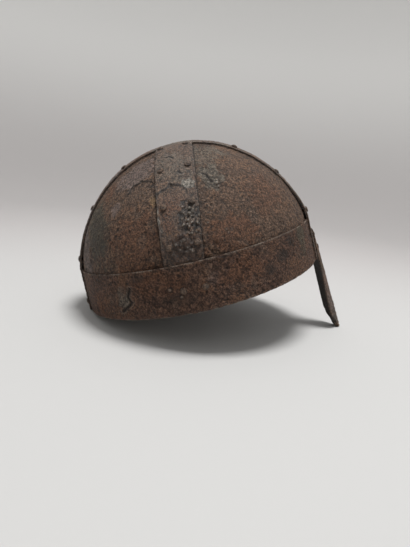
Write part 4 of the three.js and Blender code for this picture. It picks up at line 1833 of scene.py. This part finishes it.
@dataclass(frozen=True)
class Rivets:
    """The round-headed rivets along the straps, the band and the nose bar."""

    radius: float = 3.0
    height: float = 1.7
    line_middle: float = -5.0
    line_lean: float = 0.087
    band_line_middle: float = -3.0
    shank: float = 1.5
    tail_radius: float = 2.6
    tail_height: float = 1.2
    gap: float = 0.3
    slack: float = 1.3
    sides: int = 26
    shoulder: float = 0.35
    # Lighter head tops: wear and painted highlight.
    wear_and_highlight: float = 0.25
    # Dark lower rim of the head: dirt and painted shade.
    dirt_and_shade: float = 0.8
    nasal_flatness: float = 0.5
    crest_aside: float = 15.5
    crest_front: tuple[float, ...] = (4.0, 28.0, 54.0)
    crest_rear: tuple[float, ...] = (5.0, 32.5, 61.0)
    crest_foot: float = 8.7
    strap_angles: tuple[float, ...] = (8.0, 27.0, 49.0, 74.0)
    strap_spread: float = 11.6
    band_height: float = 20.5
    band_spread: float = 9.0
    nasal_heights: tuple[float, ...] = (22.0, 8.0)

    def profile(self, grip: float) -> tuple[Array, Array]:
        """Draws half a rivet, from the top of its head to the end of its tail.

        Args:
            grip: The length between its heads.

        Returns:
            The radius and the height at each point of the outline.
        """
        turn = np.radians(np.linspace(4.0, 90.0, 11))
        head = np.stack([self.radius * np.sin(turn) ** 0.9, self.height * np.cos(turn)])
        under = np.array([[0.97 * self.radius, self.shank, self.shank], [-0.08, -0.1, -grip]])
        tail = np.stack([self.tail_radius * np.cos(turn - turn[0]),
                         -grip - 0.05 - self.tail_height * np.sin(turn - turn[0])])[:, ::2]
        radius, height = np.concatenate([head, under, tail], axis=1)
        return radius.clip(0.02), height

    def make(
        self, maker: Maker, name: str, seat: Array, outward: Array, grip: float
    ) -> None:
        """Turns the profile round the rivet's axis, then dents and tints it, with a lighter top of
        wear and painted highlight and a dark lower rim of dirt and painted shade.

        Args:
            maker: What makes the meshes.
            name: The construction node that it stands for.
            seat: The middle of the head's underside.
            outward: The unit way out of the face.
            grip: The length between its heads.
        """
        radius, height = self.profile(grip)
        level = np.cross([0.0, 0.0, 1.0], outward)
        level /= np.linalg.norm(level)
        upward = np.cross(outward, level)
        turn = np.linspace(0.0, 2.0 * np.pi, self.sides, endpoint=False)
        ring = np.cos(turn)[:, None] * level + np.sin(turn)[:, None] * upward
        flat = 0.8 + 0.4 * float(maker.noise.smooth(seat[None] * 3.0, 11.0)[0])
        flat = np.clip(flat, 0.55, 1.0) * (self.nasal_flatness if name.startswith("nasal") else 1.0)
        height = np.where(height > 0, height * flat, height)
        rounds = radius[:, None, None] * ring
        points = seat + rounds + height[:, None, None] * outward
        skin = Skin(points, np.broadcast_to(outward, points.shape))
        Ground(swell=0.0, grain=0.10, pits=0.15, scales=0.0).lay(skin, maker.noise, maker.other)
        lump = 0.16 * maker.other.smooth(points, 2.6) + 0.5 * skin.lift
        shift = rounds / np.maximum(radius, 1.0)[:, None, None] * 0.6 + outward * 0.8
        points = points + np.where(height[:, None, None] > 0, lump[..., None] * shift, 0.0)
        tall = np.broadcast_to(height[:, None], lump.shape) / self.height
        wide = np.broadcast_to(radius[:, None], lump.shape) / self.radius
        # Lighter top as wear and painted highlight; dark lower rim as dirt and painted shade.
        skin.tint(Tone.WORN_AND_HIGHLIGHT, self.wear_and_highlight * ease((tall - self.shoulder) / 0.2))
        skin.tint(Tone.DARK, self.dirt_and_shade * ease((wide - 0.9) / 0.1) * (tall < self.shoulder))
        rows = len(radius)
        order = np.arange(rows)[:, None] * self.sides + np.arange(self.sides)
        wrapped = np.concatenate([order, order[:, :1]], axis=1)
        faces = [
            np.stack([wrapped[:-1, :-1], wrapped[1:, :-1], wrapped[1:, 1:], wrapped[:-1, 1:]],
                     axis=-1).reshape(-1, 4),
            order[:1],
            order[-1:, ::-1],
        ]
        tones = {tone: values.ravel() for tone, values in skin.tones.items()}
        flat_points = points.reshape(-1, 3)
        flat_faces = facing_out(flat_points, faces, np.broadcast_to(outward, flat_points.shape))
        maker.finish(name, flat_points, flat_faces, tones, RIVET_RUST, [name])

    def through(
        self,
        maker: Maker,
        name: str,
        ray: tuple[Array, Array],
        outer: Callable[[Array], Array],
        inner: Callable[[Array], Array],
    ) -> None:
        """Makes a rivet where a line of sight meets the shell, through all between two layers.

        Args:
            maker: What makes the meshes.
            name: The construction node that it stands for.
            ray: The line's start and direction.
            outer: How far outside the shell its head's seat is.
            inner: How far outside the shell the inmost face is.
        """
        point = maker.shell.meet(ray[0][None], ray[1][None])
        outward = maker.shell.outward(point)
        seat = point + outward * (outer(point) + self.gap)[:, None]
        grip = float((outer(point) - inner(point))[0]) + self.gap + self.slack
        self.make(maker, name, seat[0], outward[0], grip)

    def build(self, maker: Maker, layers: Layers) -> None:
        """Makes all the rivets.

        Args:
            maker: What makes the meshes.
            layers: The faces that the rivets pass through.
        """
        brow = maker.shell.band_height
        for side, hand in ((-1.0, "right"), (1.0, "left")):
            crest = [
                (f"front_{hand}_{place}", angle, brow)
                for place, angle in enumerate(self.crest_front, 1)
            ]
            crest += [
                (f"rear_{hand}_{place}", 180.0 - angle, brow)
                for place, angle in enumerate(self.crest_rear, 1)
            ]
            for name, angle, up in [*crest, (f"foot_{hand}", 180.0, self.crest_foot)]:
                inner = layers.band_inner if up < brow else layers.plate_inner
                start = np.array([0.0, side * self.crest_aside, up])
                turn = math.radians(angle)
                way = np.array([math.cos(turn), 0.0, math.sin(turn)])
                self.through(maker, f"crest_rivet_{name}", (start, way), layers.crest_outer, inner)
            line = Layers(maker.shell, side_strap_middle=self.line_middle,
                          side_strap_lean=self.line_lean)
            strap = SideStrap(side=side)
            for end, edge in ((-1.0, "rear"), (1.0, "front")):
                for place, angle in enumerate(self.strap_angles, 1):
                    along = np.array(end * self.strap_spread)
                    ray = strap.rays(line, along, np.array(brow), np.radians(angle))
                    name = f"side_rivet_{edge}_{hand}_{place}"
                    self.through(maker, name, ray, layers.strap_outer, layers.plate_inner)
                low = np.array(self.band_height)
                pair = Layers(maker.shell, side_strap_middle=self.band_line_middle,
                              side_strap_lean=0.0)
                ray = strap.rays(pair, np.array(end * self.band_spread), low, np.array(0.0))
                name = f"band_rivet_{edge}_{hand}"
                self.through(maker, name, ray, layers.band_outer, layers.plate_inner)
        nasal = Nasal()
        for place, up in enumerate(self.nasal_heights, 1):
            ridge = float(nasal.ridge(maker.shell, layers, np.array([up]))[0])
            seat = np.array([ridge, 0.0, up])
            front = np.array([[maker.shell.plan(np.array(up))[0].item(), 0.0, up]])
            inside = front[0, 0] + float(layers.band_inner(front)[0]) - self.slack
            outward = np.array([1.0, 0.0, 0.0])
            self.make(maker, f"nasal_rivet_{place}", seat, outward, seat[0] - inside)


# ---- Camera, light and floor ----


@dataclass(frozen=True)
class Studio:
    """A round pale sweep with painted shading, soft light from above, and the camera."""

    floor_radius: float = 1.0
    middle: float = 0.00001
    bend: float = 1.4
    wall_top: float = 1.9
    # Painted shading: the floor darker farther off and the wall lighter, standing in for the lamp's
    # falloff.
    near_colour: Colour = (0.53, 0.525, 0.515)
    far_colour: Colour = (0.49, 0.468, 0.46)
    wall_colour: Colour = (0.84, 0.83, 0.81)
    far_change: tuple[float, float] = (-0.1, 0.6)
    wall_change: tuple[float, float] = (0.05, 0.9)
    world_colour: Colour = (0.98, 0.99, 1.0)
    world_strength: float = 0.48
    lamp_power: float = 28.0
    lamp_size: float = 0.6
    lamp_place: Point = (-0.08, -0.14, 1.7)
    eye: Point = (19.22, -424.71, 108.70)
    forward: Point = (-0.03393, 0.97133, -0.23532)
    up: Point = (0.21904, 0.23696, 0.94651)
    lens: float = 27.046

    def sweep(self) -> None:
        """Turns a floor that bends up into a wall round the upright axis."""
        turn = np.radians(np.linspace(0.0, 90.0, 24))
        radius = np.concatenate([
            [self.middle, 0.3, 0.6], self.floor_radius + self.bend * np.sin(turn),
            [self.floor_radius + self.bend],
        ])
        height = np.concatenate([
            [0.0, 0.0, 0.0], self.bend * (1.0 - np.cos(turn)), [self.wall_top],
        ])
        round_about = np.linspace(0.0, 2.0 * np.pi, 97)[:-1]
        points = np.stack(
            [
                radius[None] * np.cos(round_about)[:, None],
                radius[None] * np.sin(round_about)[:, None],
                height[None] + 0.0 * round_about[:, None],
            ],
            axis=-1,
        )
        faces = quads(len(round_about), len(radius), 0, True)[:, ::-1]
        mesh = bpy.data.meshes.new("sweep")
        mesh.from_pydata(points.reshape(-1, 3).tolist(), [], faces.tolist())
        mesh.polygons.foreach_set("use_smooth", np.ones(len(faces), dtype=bool))
        graph = Graph("sweep_painted_shading")
        # Paints the sweep's shading: darker farther back on the floor, lighter up the wall.
        apart = graph.node("ShaderNodeSeparateXYZ", {}, {0: graph.place})
        far = Value(graph, apart.outputs[0]).step(*self.far_change)
        wall = Value(graph, apart.outputs[2]).step(*self.wall_change)
        floor_shading = graph.mix(self.near_colour, self.far_colour, far)
        shader = graph.node(
            "ShaderNodeBsdfPrincipled",
            {},
            {"Base Color": graph.mix(floor_shading, self.wall_colour, wall), "Roughness": 0.8},
        )
        graph.node("ShaderNodeOutputMaterial", {}, {"Surface": shader.outputs[0]})
        mesh.materials.append(graph.material)
        floor = bpy.data.objects.new("sweep", mesh)
        bpy.context.scene.collection.objects.link(floor)

    def light(self) -> None:
        """A pale surround and one large lamp above, in front of the camera's side."""
        world = bpy.data.worlds.new("surround")
        bpy.context.scene.world = world
        world.use_nodes = True
        surround = world.node_tree.nodes["Background"]
        surround.inputs["Color"].default_value = (*self.world_colour, 1.0)
        surround.inputs["Strength"].default_value = self.world_strength
        lamp = bpy.data.lights.new("overhead", "AREA")
        lamp.shape = "DISK"
        lamp.size = self.lamp_size
        lamp.energy = self.lamp_power
        held = bpy.data.objects.new("overhead", lamp)
        held.location = self.lamp_place
        aim = -Vector(self.lamp_place)
        held.rotation_euler = aim.to_track_quat("-Z", "Y").to_euler()
        bpy.context.scene.collection.objects.link(held)

    def camera(self, place: Place) -> None:
        """Sets up the camera, whose sizes are given in the helmet's axes.

        Args:
            place: What turns the helmet's axes into the frame's.
        """
        lens = bpy.data.cameras.new("camera")
        lens.lens = self.lens
        lens.sensor_width = 36.0
        lens.sensor_fit = "AUTO"
        lens.clip_start = 0.01
        eye = Vector(place.placed(np.array(self.eye)))
        forward = Vector(place.turned(np.array(self.forward))).normalized()
        up = Vector(place.turned(np.array(self.up))).normalized()
        right = forward.cross(up).normalized()
        turned = Matrix((right, right.cross(forward), -forward)).transposed()
        held = bpy.data.objects.new("camera", lens)
        held.matrix_world = Matrix.Translation(eye) @ turned.to_4x4()
        bpy.context.scene.collection.objects.link(held)
        bpy.context.scene.camera = held

    def build(self, place: Place) -> None:
        """Sets up the room and its painted shading, the light and the camera, with plain colours.

        Args:
            place: What turns the helmet's axes into the frame's.
        """
        self.sweep()
        self.light()
        self.camera(place)
        bpy.context.scene.view_settings.view_transform = "Standard"


def main() -> None:
    """Builds the studio and the helmet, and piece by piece."""
    logging.basicConfig(level=logging.INFO, format="%(name)s: %(message)s")
    place = Place(frame["record"])
    Studio().build(place)
    shell = Shell()
    layers = Layers(shell)
    maker = Maker(shell, layers, place)
    BrowBand().build(maker, layers)
    CrestStrap().build(maker, layers)
    for strap in side_straps():
        strap.build(maker, layers)
    for plate in dome_plates():
        plate.build(maker, layers)
    Nasal().build(maker, layers)
    Rivets().build(maker, layers)


if __name__ == "__main__":
    main()
